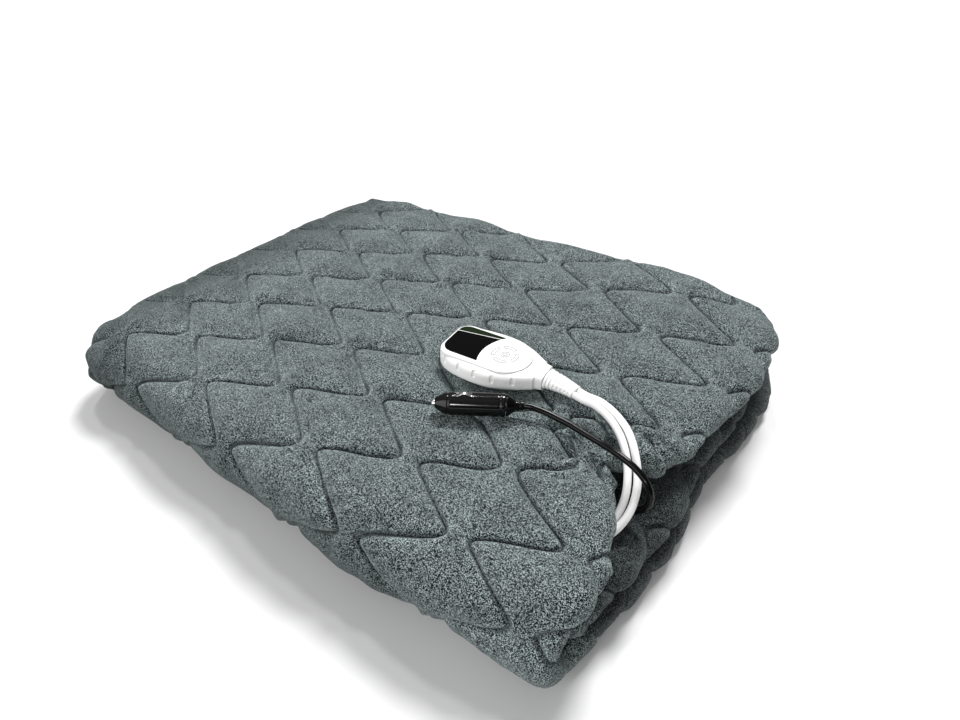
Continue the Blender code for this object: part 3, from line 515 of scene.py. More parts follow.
def boot_rings(count=112):
    """The ribbed boot: two wide flanges, then ribs with small windows between bars."""
    turn = turns(count)
    bars = sum(bell(angle_from(turn, at), BAR_WIDTH, 4) for at in BOOT_BARS)
    rings = []
    for d in np.linspace(0, BOOT_LENGTH, 121):
        t = d / BOOT_LENGTH
        rib = sum(bell(d - at, half, 4) for at, half in BOOT_RIBS) + ease((d - 27) / 0.8)
        sunk = BOOT_SUNK * (1 - min(1.0, rib)) * (1 - (0.75 * bars if d > BARS_FROM else 0))
        half, tall = (blend(*ends, t ** BOOT_TAPER) for ends in (BOOT_WIDE, BOOT_TALL))
        lean = math.atan2(2 * BOOT_BEND * t, BOOT_LENGTH)
        across = (half - sunk) * np.cos(turn)
        rings.append(np.stack((CONTROLLER_LENGTH + FIT + d - across * math.sin(lean),
                               BOOT_BEND * t * t + across * math.cos(lean),
                               blend(*BOOT_MIDDLE, t) + (tall - 0.8 * sunk) * np.sin(turn)), axis=1))
    return rings


def make_controller(mats):
    place = placed(CONTROLLER_TIP, CONTROLLER_TURN)
    outline = cover_outline(COVER_CLEARANCE)
    pocket = tube_mesh("pocket", [[(x, y, z) for x, y in outline] for z in (POCKET_FLOOR, CUT_TOP)], place)
    cutter = linked("cutter", pocket)
    shell = worked_mesh(tube_mesh("controller_body", shell_rings(), place), "BOOLEAN",
                        operation="DIFFERENCE", solver="EXACT", object=cutter)
    bpy.data.objects.remove(cutter)
    add_piece("controller_body", shell, mats, "pack", "controller_shell", "white_plastic", 38)
    rounded_copy("controller_face", "controller_cover", mats, "pack", "white_plastic", 0.45)
    rounded_copy("window_pane", "display_window", mats, "pack", "display_black", 0.25, 2)
    # The far strip of the pane, in a dark green that is a painted reflection.
    rounded_copy("strip_pane", "display_strip", mats, "pack", "display_green", 0.35, 2)
    rounded_copy("control_ring", "button_ring", mats, "pack", "white_rubber", 0.28)
    rounded_copy("button_cap", "power_button", mats, "button", "white_rubber", 0.5)
    make_marks("button_marks", [circle_points(2.0), circle_points(4.0)], place, mats["relief"], "button")
    make_marks("ring_marks", [sector_points(turn) for turn in (0, 90, 180, 270)], place, mats["relief"], "pack")
    add_piece("boot", tube_mesh("boot", boot_rings(), place), mats, "pack", "lead_boot", "white_rubber", 50)


# ---- plug ----
BODY_PROFILE = ((3.4, 4.3), (3.9, 4.9), (5.4, 5.8), (8.0, 7.3), (11.0, 8.8), (13.0, 9.5), (14.0, 9.8), (14.5, 9.3),
                (15.3, 9.3), (15.9, 10.0), (17.5, 10.15), (22.0, 10.2), (58.5, 10.2), (59.2, 9.8), (59.9, 9.8),
                (60.5, 10.3), (63.4, 10.3), (64.2, 9.9), (64.5, 9.2))
COLLAR_PROFILE = ((64.8, 8.6), (64.9, 9.3), (65.5, 9.6), (66.3, 9.4), (67.5, 8.6), (70.4, 6.6), (72.0, 5.6),
                  (72.5, 4.9), (72.9, 4.3), (74.0, 4.15), (75.2, 4.15), (75.7, 3.8), (76.6, 3.8), (77.1, 4.1),
                  (79.6, 3.95), (80.2, 3.7), (80.5, 3.2))
PIN_PROFILE = ((0.0, 0.3), (0.1, 1.0), (0.45, 1.9), (1.1, 2.6), (1.7, 3.0), (2.3, 3.2), (12.4, 3.2))
RAIL_HALF, RAIL_RISE, RAIL_SPAN = 19.0, 0.5, (17.5, 62.0)
SLOT_SPAN, SLOT_HALF, SLOT_DEPTH = (20.8, 36.4), 2.7, 1.9
CONTACT_SPAN, CONTACT_LEVEL, CONTACT_BOW, CONTACT_HALF, CONTACT_THICK = (21.8, 35.4), 9.0, 3.3, 1.9, 0.28


def lathe_rings(profile, step, count, shape=None):
    places = np.concatenate([np.linspace(a, b, max(2, int(math.ceil((b - a) / step)) + 1))[:-1]
                             for (a, _), (b, _) in zip(profile, profile[1:])] + [[profile[-1][0]]])
    xs, rs = np.array(profile).T
    turn = turns(count)
    rings = []
    for a in places:
        radius = np.full(count, np.interp(a, xs, rs))
        if shape:
            radius = shape(a, turn, radius)
        rings.append(np.stack((np.full(count, a), radius * np.cos(turn), radius * np.sin(turn)), axis=1))
    return rings


def barrel_shape(a, turn, radius):
    """Raised rails along the top and the bottom, with a slot in the top one for the contact."""
    along = ease((a - RAIL_SPAN[0]) / 0.7) * ease((RAIL_SPAN[1] - a) / 0.7)
    for centre in (90, 270):
        radius = radius + RAIL_RISE * along * ease((RAIL_HALF + 2 - angle_from(turn, centre)) / 3)
    across = np.abs(radius * np.cos(turn))
    in_slot = ease((a - SLOT_SPAN[0]) / 0.6) * ease((SLOT_SPAN[1] - a) / 0.6)
    return radius - SLOT_DEPTH * in_slot * ease((SLOT_HALF - across) / 0.7) * (np.sin(turn) > 0)


def contact_rings(count=20):
    """The bowed spring leaf in the slot, with rounded edges."""
    turn = turns(count)
    rings = []
    for a in np.linspace(*CONTACT_SPAN, 41):
        t = (a - CONTACT_SPAN[0]) / (CONTACT_SPAN[1] - CONTACT_SPAN[0])
        z = CONTACT_LEVEL + CONTACT_BOW * max(0.0, math.sin(math.pi * t)) ** 1.4
        half = CONTACT_HALF * (1 - 0.35 * abs(2 * t - 1) ** 3)
        y = half * squared(np.cos(turn), 0.5)
        rings.append(np.stack((np.full(count, a), y, z + CONTACT_THICK * np.sin(turn) - 0.05 * y * y), axis=1))
    return rings


def make_plug(mats):
    place = placed(PLUG_TIP, PLUG_TURN)
    barrel, sleeve = lathe_rings(BODY_PROFILE, 0.6, 168, barrel_shape), lathe_rings(COLLAR_PROFILE, 0.5, 72)
    tip = lathe_rings(PIN_PROFILE, 0.4, 48)
    return [add_piece(name, tube_mesh(name, rings, place), mats, body, node, slot, sharp)
            for name, rings, body, node, slot, sharp in (
                ("plug_barrel", barrel, "pack", "plug_body", "black_plastic", 55),
                ("plug_sleeve", sleeve, "pack", "plug_collar", "black_rubber", 50),
                ("plug_tip", tip, "tip", "plug_pin", "nickel", 50),
                ("plug_spring", contact_rings(), "pack", "plug_contact", "nickel", 50))]


# ---- leads ----
def smooth_route(start, points, count):
    """The start, then evenly spaced points of a smooth curve through the route's own points."""
    ends = [start] + points + [points[-1] * 2 - points[-2]]
    fine = []
    for p0, p1, p2, p3 in zip(ends, ends[1:], ends[2:], ends[3:]):
        for k in range(40):
            t = k / 40
            fine.append(0.5 * (2 * p1 + (p2 - p0) * t + (2 * p0 - 5 * p1 + 4 * p2 - p3) * t ** 2
                               + (3 * p1 - p0 - 3 * p2 + p3) * t ** 3))
    fine.append(points[-1])
    run = np.array([tuple(p) for p in [start] + fine])
    travelled = np.concatenate(([0.0], np.cumsum(np.linalg.norm(np.diff(run, axis=0), axis=1))))
    wanted = np.linspace(0, travelled[-1], count)
    return np.stack([np.interp(wanted, travelled, run[:, axis]) for axis in range(3)], axis=1)


def lead_starts():
    """Start and heading of the three leads, in plan millimetres."""
    shell = placed(CONTROLLER_TIP, CONTROLLER_TURN)
    lean = math.atan2(2 * BOOT_BEND, BOOT_LENGTH)
    heading = (shell.to_3x3() @ Vector((math.cos(lean), math.sin(lean), 0))).normalized()
    end = shell @ Vector((CONTROLLER_LENGTH + FIT + BOOT_LENGTH, BOOT_BEND, BOOT_END_Z))
    beside = heading.cross(Vector((0, 0, 1)))
    spread = WHITE_LEAD / 2 + 0.25
    plug = placed(PLUG_TIP, PLUG_TURN)
    return (*((end + heading * FIT + beside * side, heading) for side in (-spread, spread)),
            (plug @ Vector((SLEEVE_END + FIT, 0, 0)), plug.to_3x3() @ Vector((1, 0, 0))))


def lead_lines():
    """The middle lines of the three leads, in plan millimetres."""
    lines = []
    outs = (WHITE_OUT * WHITE_LEAD, WHITE_OUT * WHITE_LEAD, BLACK_OUT * BLACK_LEAD)
    for (start, heading), route, out in zip(lead_starts(), (WHITE_ROUTE_1, WHITE_ROUTE_2, BLACK_ROUTE), outs):
        points = [start + heading * out]
        points += [Vector((x, y, TOP_LEVEL + z)) for x, y, z in route]
        lines.append(smooth_route(start, points, 38))
    return lines


def make_lead(name, line, diameter, mat, node, with_pieces=()):
    places = to_row(line)
    obj = wires(name, [places], diameter / 2, 6, mat)
    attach(obj, "pack")
    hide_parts(node)


# ---- the folded cloth ----
def edge_x(table, y):
    """Reads an edge table at y, with a soft step from row to row."""
    ys, xs = np.array(table, dtype=float).T
    k = np.clip(np.searchsorted(ys, y) - 1, 0, len(ys) - 2)
    return blend(xs[k], xs[k + 1], ease((y - ys[k]) / (ys[k + 1] - ys[k])))


def read_tile(tile, gx, gy, soft=False):
    """Reads a table that repeats both ways, at places between its points."""
    nx, ny = tile.shape
    ix, iy = np.floor(gx).astype(int), np.floor(gy).astype(int)
    fx, fy = (ease(gx - ix), ease(gy - iy)) if soft else (gx - ix, gy - iy)
    low, high = (tile[ix % nx, (iy + k) % ny] * (1 - fx) + tile[(ix + 1) % nx, (iy + k) % ny] * fx for k in (0, 1))
    return low * (1 - fy) + high * fy


def lattice_noise(x, y, scale, seed, rise=1.0):
    """Smooth noise from -rise to rise, with bumps about one scale across."""
    return rise * read_tile(np.random.default_rng(seed).uniform(-1, 1, (97, 97)), x / scale, y / scale, True)


TIP_ROUND = 0.895       # 1 would be a sharp tip
STROKE_WAVE = (2.9, 1.3)        # mm that a stroke swings beside a straight line, and how much that varies


def seam_x(n, v):
    """Where seam n lies at v: a zigzag with rounded tips and slightly S-shaped strokes."""
    phase = np.pi * ((TIP_Y0 - v) / STROKE + n)
    rounded = -np.arcsin(TIP_ROUND * np.cos(phase)) / math.asin(TIP_ROUND)
    wave = (STROKE_WAVE[0] - STROKE_WAVE[1] * np.sin(phase)) * np.sin(2 * phase)
    return SEAM_X0 + n * SEAM_PITCH + SEAM_SWING * rounded + wave


SEAM_TILE = (160, 84)           # points across and along one repeat of the seams


def nearest_seam(u, v):
    """Distance to the nearest seam, and 1 where that seam leans along -X+Y, 0 where along +X+Y."""
    (nu, nv), du, dv = SEAM_TILE, 2 * SEAM_PITCH, 2 * STROKE
    down = np.arange(nv) * dv / nv + TIP_Y0
    along = TIP_Y0 + np.arange(-STROKE, 3 * STROKE, 0.4)
    line = np.concatenate([np.stack([seam_x(n, along), along], 1) for n in range(-1, 4)])
    leans = np.concatenate([np.sin(np.pi * ((TIP_Y0 - along) / STROKE + n)) for n in range(-1, 4)])
    distance, lean = np.empty(SEAM_TILE), np.empty(SEAM_TILE)
    for k, across in enumerate(np.arange(nu) * du / nu + SEAM_X0):
        gap = np.hypot(line[None, :, 0] - across, line[None, :, 1] - down[:, None])
        nearest = gap.argmin(axis=1)
        distance[k] = gap[np.arange(nv), nearest]
        lean[k] = ease(1.15 * leans[nearest] - 0.15)
    gu, gv = (u - SEAM_X0) / du * nu, (v - TIP_Y0) / dv * nv
    return read_tile(distance, gu, gv), read_tile(lean, gu, gv)


# The last four are shares: of the quilting shown on the face and round the edge, of thickness, and of the zigzag.
Row = namedtuple("Row", "y z ny nz v edge hem show arc_show thin align", defaults=(1.0, 1.0, 1.0, 1.0))
TOP_STEP, FRONT_STEP, LOWER_STEP, BACK_STEPS = 2.9, 3.1, 6.5, 9
NEAR_STEP, NEAR_BANDS = 1.9, ((-126.0, -4.0), (72.0, 134.0))       # finer round the leads and the ribs


def cloth_rows():
    """Stations along the fold, from the top panel's free edge to the inner panel's free edge."""
    rows = []

    def station(y, z, ny, nz, v, edge, **shares):
        rows.append(Row(y, z, ny, nz, v, edge, edge_x(HEM_EDGE, y), **shares))

    def panel(y, z, side, v, table, shift=0.0, **shares):
        station(y, z, 0.0, side, v, edge_x(table, y) + shift, **shares)

    for y in BACK_EDGE_Y - np.array((0.0, 0.7, 1.8, 3.2, 5.0, 7.2, 9.6)):
        grown = ease((BACK_EDGE_Y - y) / 8.0)
        panel(y, TOP_Z, 1, y, TOP_EDGE, show=grown, arc_show=grown, thin=blend(HEM_THIN, 1, grown))
    y = BACK_EDGE_Y - 12.0
    while y > FRONT_Y:
        panel(y, TOP_Z, 1, y, TOP_EDGE)
        y -= NEAR_STEP if any(low < y < high for low, high in NEAR_BANDS) else TOP_STEP

    count = int(round(math.pi * (FRONT_RADIUS + OUTER) / FRONT_STEP))
    for k in range(1, count):
        share = k / count
        turn = math.pi * share
        y = FRONT_Y - FRONT_RADIUS * math.sin(turn)
        edge = edge_x(TOP_EDGE, y) * (1 - share) + edge_x(LOWER_EDGE, y) * share
        shown = ease(3 * (1 - share))
        station(y, FRONT_Z + FRONT_RADIUS * math.cos(turn), -math.sin(turn), math.cos(turn),
                FRONT_Y - 3 * STROKE * share, edge, show=shown, arc_show=shown, align=shown)

    count = int(round((BACK_FOLD_Y - FRONT_Y) / LOWER_STEP))
    back_v = BACK_FOLD_Y + math.pi * BACK_RADIUS
    for k in range(count + 1):
        y = FRONT_Y + (BACK_FOLD_Y - FRONT_Y) * k / count
        grown = ease((y - FRONT_Y - 4) / 40)
        panel(y, BOTTOM_Z, -1, back_v + BACK_FOLD_Y - y, LOWER_EDGE, show=0.0, arc_show=grown, align=grown)

    for k in range(1, BACK_STEPS):
        share = k / BACK_STEPS
        turn = math.pi * share
        y = BACK_FOLD_Y + BACK_RADIUS * math.sin(turn)
        edge = edge_x(LOWER_EDGE, y) - (INNER_SET_BACK + INNER_SET_BACK_REAR) * ease(share)
        station(y, INNER_Z - BACK_RADIUS * (1 + math.cos(turn)), math.sin(turn), -math.cos(turn),
                back_v - BACK_RADIUS * turn, edge, show=share)

    last = INNER_END_Y + HEM_TAPER
    count = int(round((BACK_FOLD_Y - last) / LOWER_STEP))
    for k in range(count + 1):
        y = BACK_FOLD_Y + (last - BACK_FOLD_Y) * k / count
        panel(y, INNER_Z, 1, y, LOWER_EDGE, -INNER_SET_BACK - INNER_SET_BACK_REAR * ease((y - 40) / 110))
    for share in (0.35, 0.65, 0.85, 1.0):
        y, thin = last - HEM_TAPER * share, 1 - (1 - HEM_THIN) * ease(share)
        panel(y, INNER_Z, 1, y, LOWER_EDGE, -INNER_SET_BACK, show=1 - share, arc_show=1 - share, thin=thin)
    return rows


def read_rows(rows, keys):
    """The named values, each as a column with one number per row."""
    return [np.array([getattr(row, key) for row in rows])[:, None] for key in keys.split()]


LAST_U = FOLD_X - OUTER
END_U = LAST_U + math.pi * OUTER
SEAMS = range(-2, 7)
# Mesh columns from the hem to the first seam, across a puff, across a puff near the leads, and after the last seam.
HEM_COLUMNS, PUFF_COLUMNS, NEAR_COLUMNS, END_COLUMNS = 6, 22, 30, 4
SEAM_BIAS = 0.55                # how far columns crowd towards the seams


def column_places(rows):
    """Unrolled places of the shown face's mesh lines, row by row, bent so that lines run along seams."""
    v, align = (values[:, 0] for values in read_rows(rows, "v align"))
    stops = [np.full(len(rows), HEM_X)]
    for n in SEAMS:
        middle = SEAM_X0 + n * SEAM_PITCH
        stops.append(np.clip(blend(middle, seam_x(n, v), align), HEM_X + 6, END_U - 4))
    stops.append(np.full(len(rows), END_U))
    counts = [HEM_COLUMNS] + [PUFF_COLUMNS] * (len(SEAMS) - 4) + [NEAR_COLUMNS] * 3 + [END_COLUMNS]
    columns = []
    for low, high, count in zip(stops, stops[1:], counts):
        bias = SEAM_BIAS if count >= PUFF_COLUMNS else 0.0
        for k in range(count):
            t = k / count
            g = t - bias * math.sin(2 * math.pi * t) / (2 * math.pi)
            columns.append(low * (1 - g) + high * g)
    return np.stack(columns, axis=1)


def hidden_lines():
    """Unrolled places of the hidden face's mesh lines, the same in every row."""
    start = [HEM_X + d for d in (0, 12, 32, 56, 84, 116)]
    end = [LAST_U - d for d in (104, 78, 52, 26, 0)]
    middle = [blend(start[-1], end[0], share) for share in (0.25, 0.5, 0.75)]
    return np.array(start + middle + end)


def place_x(u, rows, set_back=0.0):
    """Moves mesh lines from their nominal places to where each row's edge and hem are."""
    near_fold = ease((u - (FOLD_X - EDGE_REACH - 30)) / EDGE_REACH)
    near_hem = ease((HEM_X + EDGE_REACH - u) / EDGE_REACH)
    edge, hem = read_rows(rows, "edge hem")
    return u + (edge - FOLD_X) * near_fold + (hem - HEM_X + set_back) * near_hem


CREASE_SHARE, CREASE_WIDTH = 0.42, 1.8      # the narrow groove of the stitching
SHOULDER_SHARE, SHOULDER_WIDTH = 0.36, 7.0
CROWN_WIDTH = 38.0
SEAM_SUNK, PUFF_SHOWN = 3.2, 12.2          # the fleece's own relief: a little more than the part's
LOWER_RELIEF, END_RELIEF = 0.55, 0.45       # the lower layers and the hemmed end are pressed flatter
SLACK_NEAR_HEM, SLACK_NEAR_FOLD = 0.85, 0.12
# Size, seed and rise in millimetres of the noises that wrinkle the puffs.
WRINKLES, LUMPS, SWELL = (15, 5, 0.8), (6, 9, 0.35), (46, 3, 2.0)
PULL_RISE, PULL_AT, PULL_WIDTH, FOLD_RISE = 0.975, 15, 9, 1.3


def puff_height(distance, slack):
    """0 on a seam, rising steeply and then softly to 1 in the middle of a puff; a slack seam less steeply."""
    crease = CREASE_SHARE * (1 - slack)
    return (crease * (1 - np.exp(-distance / CREASE_WIDTH))
            + (SHOULDER_SHARE + CREASE_SHARE - crease) * (1 - np.exp(-distance / SHOULDER_WIDTH))
            + (1 - CREASE_SHARE - SHOULDER_SHARE) * ease(distance / CROWN_WIDTH))


def tip_pulls(u, v):
    """Small folds that fan out from each tip of the zigzag, where the stitching gathers the cloth."""
    pulls = np.zeros(u.shape)
    n = np.round((u - SEAM_X0) / SEAM_PITCH)
    for k in (n - 1, n, n + 1):
        for side in (-1, 1):
            tip_u = SEAM_X0 + k * SEAM_PITCH + side * SEAM_SWING
            step = (TIP_Y0 - v) / STROKE + k - (side > 0)
            tip_v = v + (step - 2 * np.round(step / 2)) * STROKE
            du, dv = u - tip_u, v - tip_v
            reach, turn = np.hypot(du, dv), np.arctan2(dv, du)
            phase = 2.6 * np.sin(3.1 * k + tip_v * 0.37)
            pulls += np.sin(turn * 5 + phase) * bell(reach - PULL_AT, PULL_WIDTH)
    return PULL_RISE * pulls


def soft_folds(u, v):
    """Soft creases that wander over the puffs: ridges where a slow noise crosses zero."""
    a = lattice_noise(u * 0.9 + v * 0.45, v * 0.9 - u * 0.45, 30, 21)
    b = lattice_noise(u, v, 55, 22)
    return (1 - np.abs(a) * 2.2).clip(-0.6, 1) * ease(0.5 + b)


# Folds and dents near the leads, on the top panel: a line in plan, its height and half width.
FOLDS = (
    (((186, -46), (192, -35), (201, -24), (212, -17), (221, -21)), 3.2, 5.0),
    (((195, -34), (204, -27), (212, -25)), -5.0, 3.0),
    (((200, -49), (209, -43), (218, -40), (229, -42), (239, -46)), 3.6, 5.0),
    (((250, -15), (264, -17), (276, -23)), 3.6, 4.2),
    (((256, -22), (266, -25), (274, -30)), -4.5, 2.6),
    (((264, -29), (275, -38), (285, -53), (291, -68)), 4.4, 3.4),
    (((269, -25), (280, -34), (290, -49), (296, -62)), -5.0, 2.6),
    (((274, -27), (279, -22), (286, -24), (295, -32)), -4.5, 2.6),
    (((221, -16), (235, -21), (246, -30)), -18.0, 6.5),
    (((247, -44), (256, -52), (264, -62)), -8.0, 3.2),
    (((215, -52), (223, -58), (231, -69)), -12.0, 3.6),
    (((229, -92), (235, -79), (239, -69), (245, -65)), 3.8, 4.4),
    (((222, -88), (228, -77), (232, -68)), -5.0, 3.0),
    (((160, -71), (173, -66), (192, -61), (212, -56)), -3.6, 4.0),
    (((161, -58), (180, -54), (200, -54)), 2.2, 4.0),
    (((214, -112), (228, -109), (239, -103)), -4.0, 3.6),
    (((136, -92), (142, -104), (146, -116)), -4.0, 5.0),
)
CRUMPLE_AT, CRUMPLE_REACH = (218.0, -52.0), 62.0
BUNCH_RISE, BUNCH_LUMPS = 2.0, (6.5, 33, 0.8)
# Rows of stitching that gather the cloth into narrow ribs, near the back of the round fold.
RIBS = (((267, 120), (309, 94)), ((271, 134), (313, 107)), ((266, 106), (308, 78)), ((269, 127), (311, 100.5)),
        ((266, 113), (308, 86)))
RIB_DEPTH, RIB_WIDTH = 3.0, 2.2
# Painted shade: the seam shade is painted deeper in the dents near the leads, and lighter along leaning strokes by
# LEAN_SHADE.
PIT_DEPTH = 12.0        # a hollow this deep is dark at its bottom
LEAN_SHADE, THINNEST = 1.3, 1.2
# Painted shade: the lower layers are painted darker for the shade they sit in, less so at the back and not at the
# near corner, and darker again towards the hemmed end.
LOWER_PAINTED_SHADE, CORNER_PAINTED_SHADE, BACK_PAINTED_SHADE, HEM_PAINTED_SHADE = 0.27, 1.0, 0.65, 0.40


def line_distance(x, y, line):
    best = np.full(x.shape, 1e9)
    for (ax, ay), (bx, by) in zip(line, line[1:]):
        dx, dy = bx - ax, by - ay
        t = np.clip(((x - ax) * dx + (y - ay) * dy) / (dx * dx + dy * dy), 0, 1)
        best = np.minimum(best, np.hypot(x - ax - t * dx, y - ay - t * dy))
    return best


def crumple(x, y):
    """The bunched cloth around the leads: named folds, and small wrinkles that fade outwards."""
    height = np.zeros(x.shape)
    for line, rise, width in FOLDS:
        height += rise * bell(line_distance(x, y, line), width)
    near = bell(plan_gap(x, y, CRUMPLE_AT), CRUMPLE_REACH)
    wrinkles = (1 - 2.4 * np.abs(lattice_noise(x + 0.5 * y, y - 0.3 * x, 13, 31))).clip(-0.8, 1)
    for line in RIBS:
        height -= RIB_DEPTH * bell(line_distance(x, y, line), RIB_WIDTH)
    return height + near * (BUNCH_RISE * wrinkles + lattice_noise(x, y, *BUNCH_LUMPS))


PRESS_REACH, PRESS_SLOPE, LEAD_REACH, LEAD_SLOPE = 16, 0.35, 5, 0.9     # how far and steeply the cloth is pressed
PLUG_HALF, LEAD_CLEARANCE = 6.0, 0.4


def press_limit(x, y):
    """The highest that cloth may reach under the controller, the plug and the leads."""
    limit = np.full(x.shape, 1e3)
    for tip, turn, length, half, level in (
            (CONTROLLER_TIP, CONTROLLER_TURN, CONTROLLER_LENGTH, CONTROLLER_HALF, CONTROLLER_TIP[2]),
            (PLUG_TIP, PLUG_TURN, SLEEVE_END, PLUG_HALF, PLUG_TIP[2] - PLUG_RADIUS)):
        dx, dy = x - tip[0], y - tip[1]
        a = dx * math.cos(turn) + dy * math.sin(turn)
        b = np.abs(dx * math.sin(turn) - dy * math.cos(turn))
        beyond_a = np.maximum(0.0, np.maximum(-a, a - length))
        beyond = np.maximum(0.0, np.hypot(beyond_a, np.maximum(0.0, b - half)) - PRESS_REACH)
        limit = np.minimum(limit, level - FIT + PRESS_SLOPE * beyond)
    for line, diameter in zip(lead_lines(), (WHITE_LEAD, WHITE_LEAD, BLACK_LEAD)):
        for place in line[line[:, 2] >= TOP_LEVEL - 6]:
            away = plan_gap(x, y, place) - diameter / 2
            under = place[2] - diameter / 2 - LEAD_CLEARANCE + LEAD_SLOPE * np.maximum(0, away)
            limit = np.minimum(limit, np.where(away < LEAD_REACH, under, 1e3))
    return limit


def settle(x, y, z):
    """Where a point in plan millimetres ends up once the pile has settled, as in the part."""
    upper = ease((z - UPPER_FROM) / UPPER_OVER)
    z = z - HEM_SAG * upper * ease((-20 - x) / 260)
    z = z * (1 - END_DROOP * ease((-215 - x) / 110))
    swell = np.sin(x / 48 + 0.9) * np.sin(y / 41 + 0.4)
    z = z - WAVE * upper * (0.5 - 0.5 * swell)
    z = z - HOLLOW_DEPTH * upper * bell(plan_gap(x, y, HOLLOW_AT), HOLLOW_SPREAD)
    lift = bell(plan_gap(x, y, BACK_AT), BACK_WIDTH)
    tuck = ease((x - 110) / 190) * ease((-130 - y) / 110)
    return x, y + FRONT_TUCK * tuck + BACK_SPREAD * lift, np.maximum(z + BACK_LIFT * upper * lift, 0.0)


def end_faces(outside, inside, out_progress, in_progress, flip):
    """Closes a free edge of the cloth with triangles between its two faces."""
    faces, i, j = [], 0, 0
    while i < len(outside) - 1 or j < len(inside) - 1:
        step_out = j == len(inside) - 1 or (i < len(outside) - 1 and out_progress[i + 1] <= in_progress[j + 1])
        ahead = outside[i + 1] if step_out else inside[j + 1]
        face = (int(outside[i]), int(inside[j]), int(ahead))
        faces.append(face[::-1] if flip else face)
        i, j = (i + 1, j) if step_out else (i, j + 1)
    return faces


def hem_share(u):
    """The leaf's thickness near its hem, as a share."""
    return blend(HEM_THIN, 1, ease((u - HEM_X) / HEM_TAPER))


def shown_face(rows, u, x):
    """The shown leaf's thickness at its mesh lines, and the distance from a seam that its painted shade and
    highlight go by.
    """
    y0, z0, nz, thin, show, arc_show, v = read_rows(rows, "y z nz thin show arc_show v")
    v = np.broadcast_to(v, u.shape)
    upper = z0 > FRONT_Z
    distance, lean = nearest_seam(u, v)
    lean = lean * ease((nz - 0.5) / 0.4) * upper
    slack = lean * blend(SLACK_NEAR_FOLD, SLACK_NEAR_HEM, ease((130 - u) / 250))
    shown = blend(show, arc_show, ease((u - LAST_U + 14) / 16))
    fine = lattice_noise(u, v, *WRINKLES) + lattice_noise(u + 0.4 * v, v, *LUMPS) + tip_pulls(u, v)
    fine = fine * shown * ease(distance / 6) * np.where(upper, ease((BACK_EDGE_Y - 4 - y0) / 26), 1.0)
    broad = (lattice_noise(u, v, *SWELL) + FOLD_RISE * soft_folds(u, v)) * shown * ease(distance / 12)
    relief = shown * blend(LOWER_RELIEF, 1, ease((z0 - BOTTOM_Z) / (FRONT_Z - BOTTOM_Z)))
    relief = relief * blend(END_RELIEF, 1, ease((u - HEM_X - 12) / 70))
    puffs = PUFF_SHOWN * puff_height(distance, slack) - SEAM_SUNK
    raised = LEAF_AT_SEAM + PUFF * (1 - relief) + relief * puffs
    worked = crumple(x, np.broadcast_to(y0, u.shape)) * upper * (nz > 0.9)
    thickness = (raised + fine + broad + worked) * np.minimum(hem_share(u), thin)
    # Distance for the painted seam shade and highlight: lighter along leaning strokes, deeper in the dents.
    crease = np.where(shown > 0.5, distance + LEAN_SHADE * lean, SEAM_REACH)
    crease = crease * (1 - np.clip(-worked / PIT_DEPTH, 0.0, 0.9))
    return LEAF_GAP / 2 + np.maximum(thickness, THINNEST), crease


def painted_layer_shade(x, rows):
    """The pile's brightness after painted shade: less on the lower layers and towards the hemmed end."""
    y0, z0, ny = read_rows(rows, "y z ny")
    at_corner = ease((x - 130) / 110) * ease((FRONT_Y + 40 - y0) / 40)
    at_back = ease(y0 / 150) * (1 - ease((x - 130) / 140))
    low = LOWER_PAINTED_SHADE + (CORNER_PAINTED_SHADE - LOWER_PAINTED_SHADE) * at_corner + (BACK_PAINTED_SHADE - LOWER_PAINTED_SHADE) * at_back
    start = 0.36 * ease((y0 - FRONT_Y) / 60) * (1 - at_back)
    painted_shade = blend(low, 1, ease(((z0 - BOTTOM_Z) / (TOP_Z - BOTTOM_Z) - start) / (1 - start)))
    return painted_shade * blend(HEM_PAINTED_SHADE, 1, ease((x - HEM_X) / (130 + 170 * np.clip(-ny, 0.0, 1.0))))


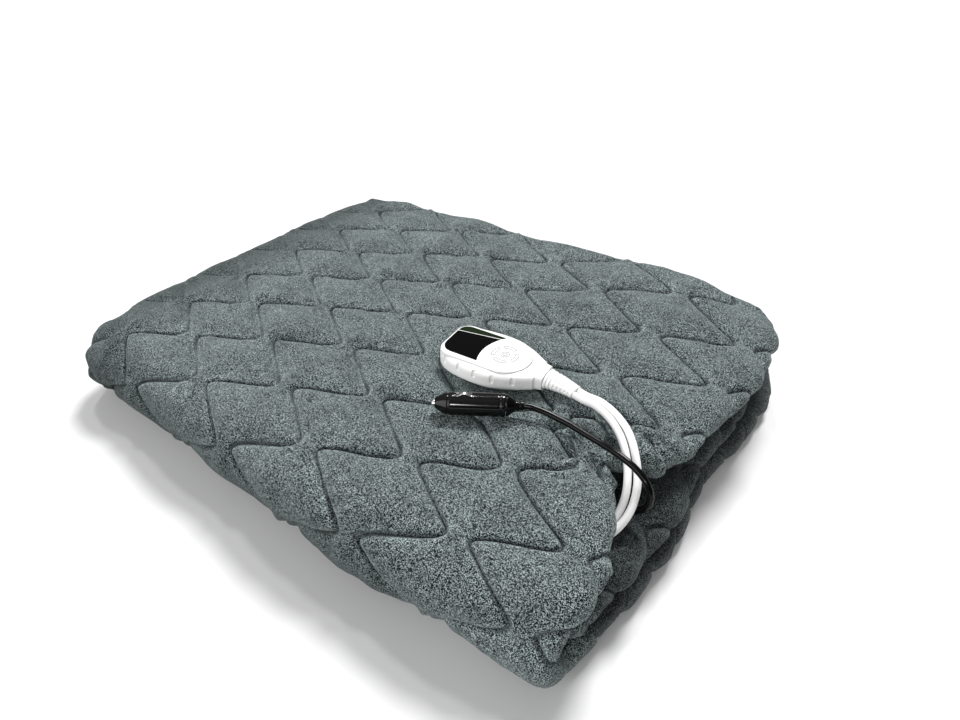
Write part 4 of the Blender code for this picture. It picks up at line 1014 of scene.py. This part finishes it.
def build_blanket(mats):
    """Each row is a leaf folded over at its round edge: a shown face, a hidden face and a narrow space between."""
    rows = cloth_rows()
    y0, z0, ny, nz, thin = read_rows(rows, "y z ny nz thin")
    half_gap = LEAF_GAP / 2
    u = column_places(rows)
    x_flat = place_x(np.minimum(u, LAST_U), rows)
    thickness, shown_crease = shown_face(rows, u, x_flat)
    centre = place_x(np.full((len(rows), 1), LAST_U), rows)
    turn = np.clip((u - LAST_U) / OUTER, 0, math.pi)
    radius = thickness * (1 - turn / math.pi) + (half_gap + LEAF_PLAIN * thin) * turn / math.pi
    flat = u <= LAST_U
    x_shown = np.where(flat, x_flat, centre + radius * np.sin(turn))
    out_shown = np.where(flat, thickness, radius * np.cos(turn))

    coarse = hidden_lines()
    cu = np.broadcast_to(coarse, (len(rows), len(coarse)))
    x_back, x_in = place_x(cu, rows, HEM_SET_BACK), place_x(cu, rows)
    hidden = half_gap + LEAF_PLAIN * np.minimum(hem_share(cu), thin)
    inner = np.full(cu.shape, half_gap)
    xs = np.concatenate((x_shown, x_back[:, ::-1], x_back, centre + half_gap, x_in[:, ::-1]), axis=1)
    outs = np.concatenate((out_shown, -hidden[:, ::-1], -inner, np.zeros(centre.shape), inner), axis=1)
    x, y, z = settle(xs, y0 + ny * outs, z0 + nz * outs)
    shown_count = u.shape[1]
    on_top = np.zeros(x.shape, dtype=bool)
    on_top[:, :shown_count] = (nz > 0.5) & (z0 > FRONT_Z) & (u < LAST_U + 0.7 * OUTER)
    z = np.where(on_top, np.minimum(z, press_limit(x, y)), z)

    columns = x.shape[1]
    faces = [(a + c, a + columns + c, a + columns + (c + 1) % columns, a + (c + 1) % columns)
             for a in range(0, (len(rows) - 1) * columns, columns) for c in range(columns)]
    round_end = LAST_U + 6 + LAST_U - coarse[::-1]
    out_progress = np.concatenate((np.where(u[0] < LAST_U, u[0], LAST_U + (u[0] - LAST_U) * 0.14), round_end))
    in_progress = np.concatenate((coarse, [LAST_U + 3], round_end))
    for base, flip in ((0, False), ((len(rows) - 1) * columns, True)):
        outside = base + np.arange(len(out_progress))
        inside = base + columns - 1 - np.arange(len(in_progress))
        faces += end_faces(outside, inside, out_progress, in_progress, flip)
    mesh = closed_mesh("blanket_cloth", to_row(np.stack((x, y, z), axis=2).reshape(-1, 3)), faces)
    # Point values for painted shade: the distance that the seam shade goes by, and the darkening of the lower
    # layers and hemmed end.
    crease = np.full(x.shape, SEAM_REACH)
    crease[:, :shown_count] = shown_crease
    for name, values in (("crease", crease), ("painted_shade", painted_layer_shade(xs, rows))):
        mesh.attributes.new(name, "FLOAT", "POINT").data.foreach_set("value", values.ravel().astype(np.float32))
    obj = add_piece("blanket_cloth", mesh, mats, "pack", "blanket", "fleece")


def main():
    make_camera()
    make_stage()
    white, soft, black = (0.88, 0.88, 0.87), (0.86, 0.86, 0.85), (0.002,) * 3
    mats = {
        "white_plastic": plastic_material("moulded_white", white, 0.32),
        "white_rubber": plastic_material("soft_white", soft, 0.42),
        "display_black": plastic_material("window_black", (0.001,) * 3, 0.05, PANE_DEPTH,
                                          Specular_IOR_Level=0.08),
        # Painted reflection: the far strip's dark green tint stands in for a green item mirrored in the glossy
        # pane.
        "display_green": plastic_material("window_painted_reflection", (0.005, 0.013, 0.002), 0.06, PANE_DEPTH,
                                          Specular_IOR_Level=0.25),
        "black_plastic": plastic_material("moulded_black", black, 0.11, GLOSS_DEPTH, Specular_IOR_Level=0.35),
        "black_rubber": plastic_material("soft_black", black, 0.15, GLOSS_DEPTH, Specular_IOR_Level=0.15),
        # Painted shade: the white raised marks are coloured grey for the shading that shows them.
        "relief": plastic_material("relief_painted_shade", (0.25,) * 3, 0.5),
        "nickel": metal_material(),
        "fleece": fleece_material(),
    }
    *white_lines, black_line = lead_lines()
    for k, line in enumerate(white_lines, 1):
        make_lead(f"lead_white_{k}", line, WHITE_LEAD, mats["white_rubber"], f"white_lead_{k}")
    make_lead("lead_black", black_line, BLACK_LEAD, mats["black_rubber"], "black_lead",
              make_plug(mats))
    make_controller(mats)
    build_blanket(mats)


main()
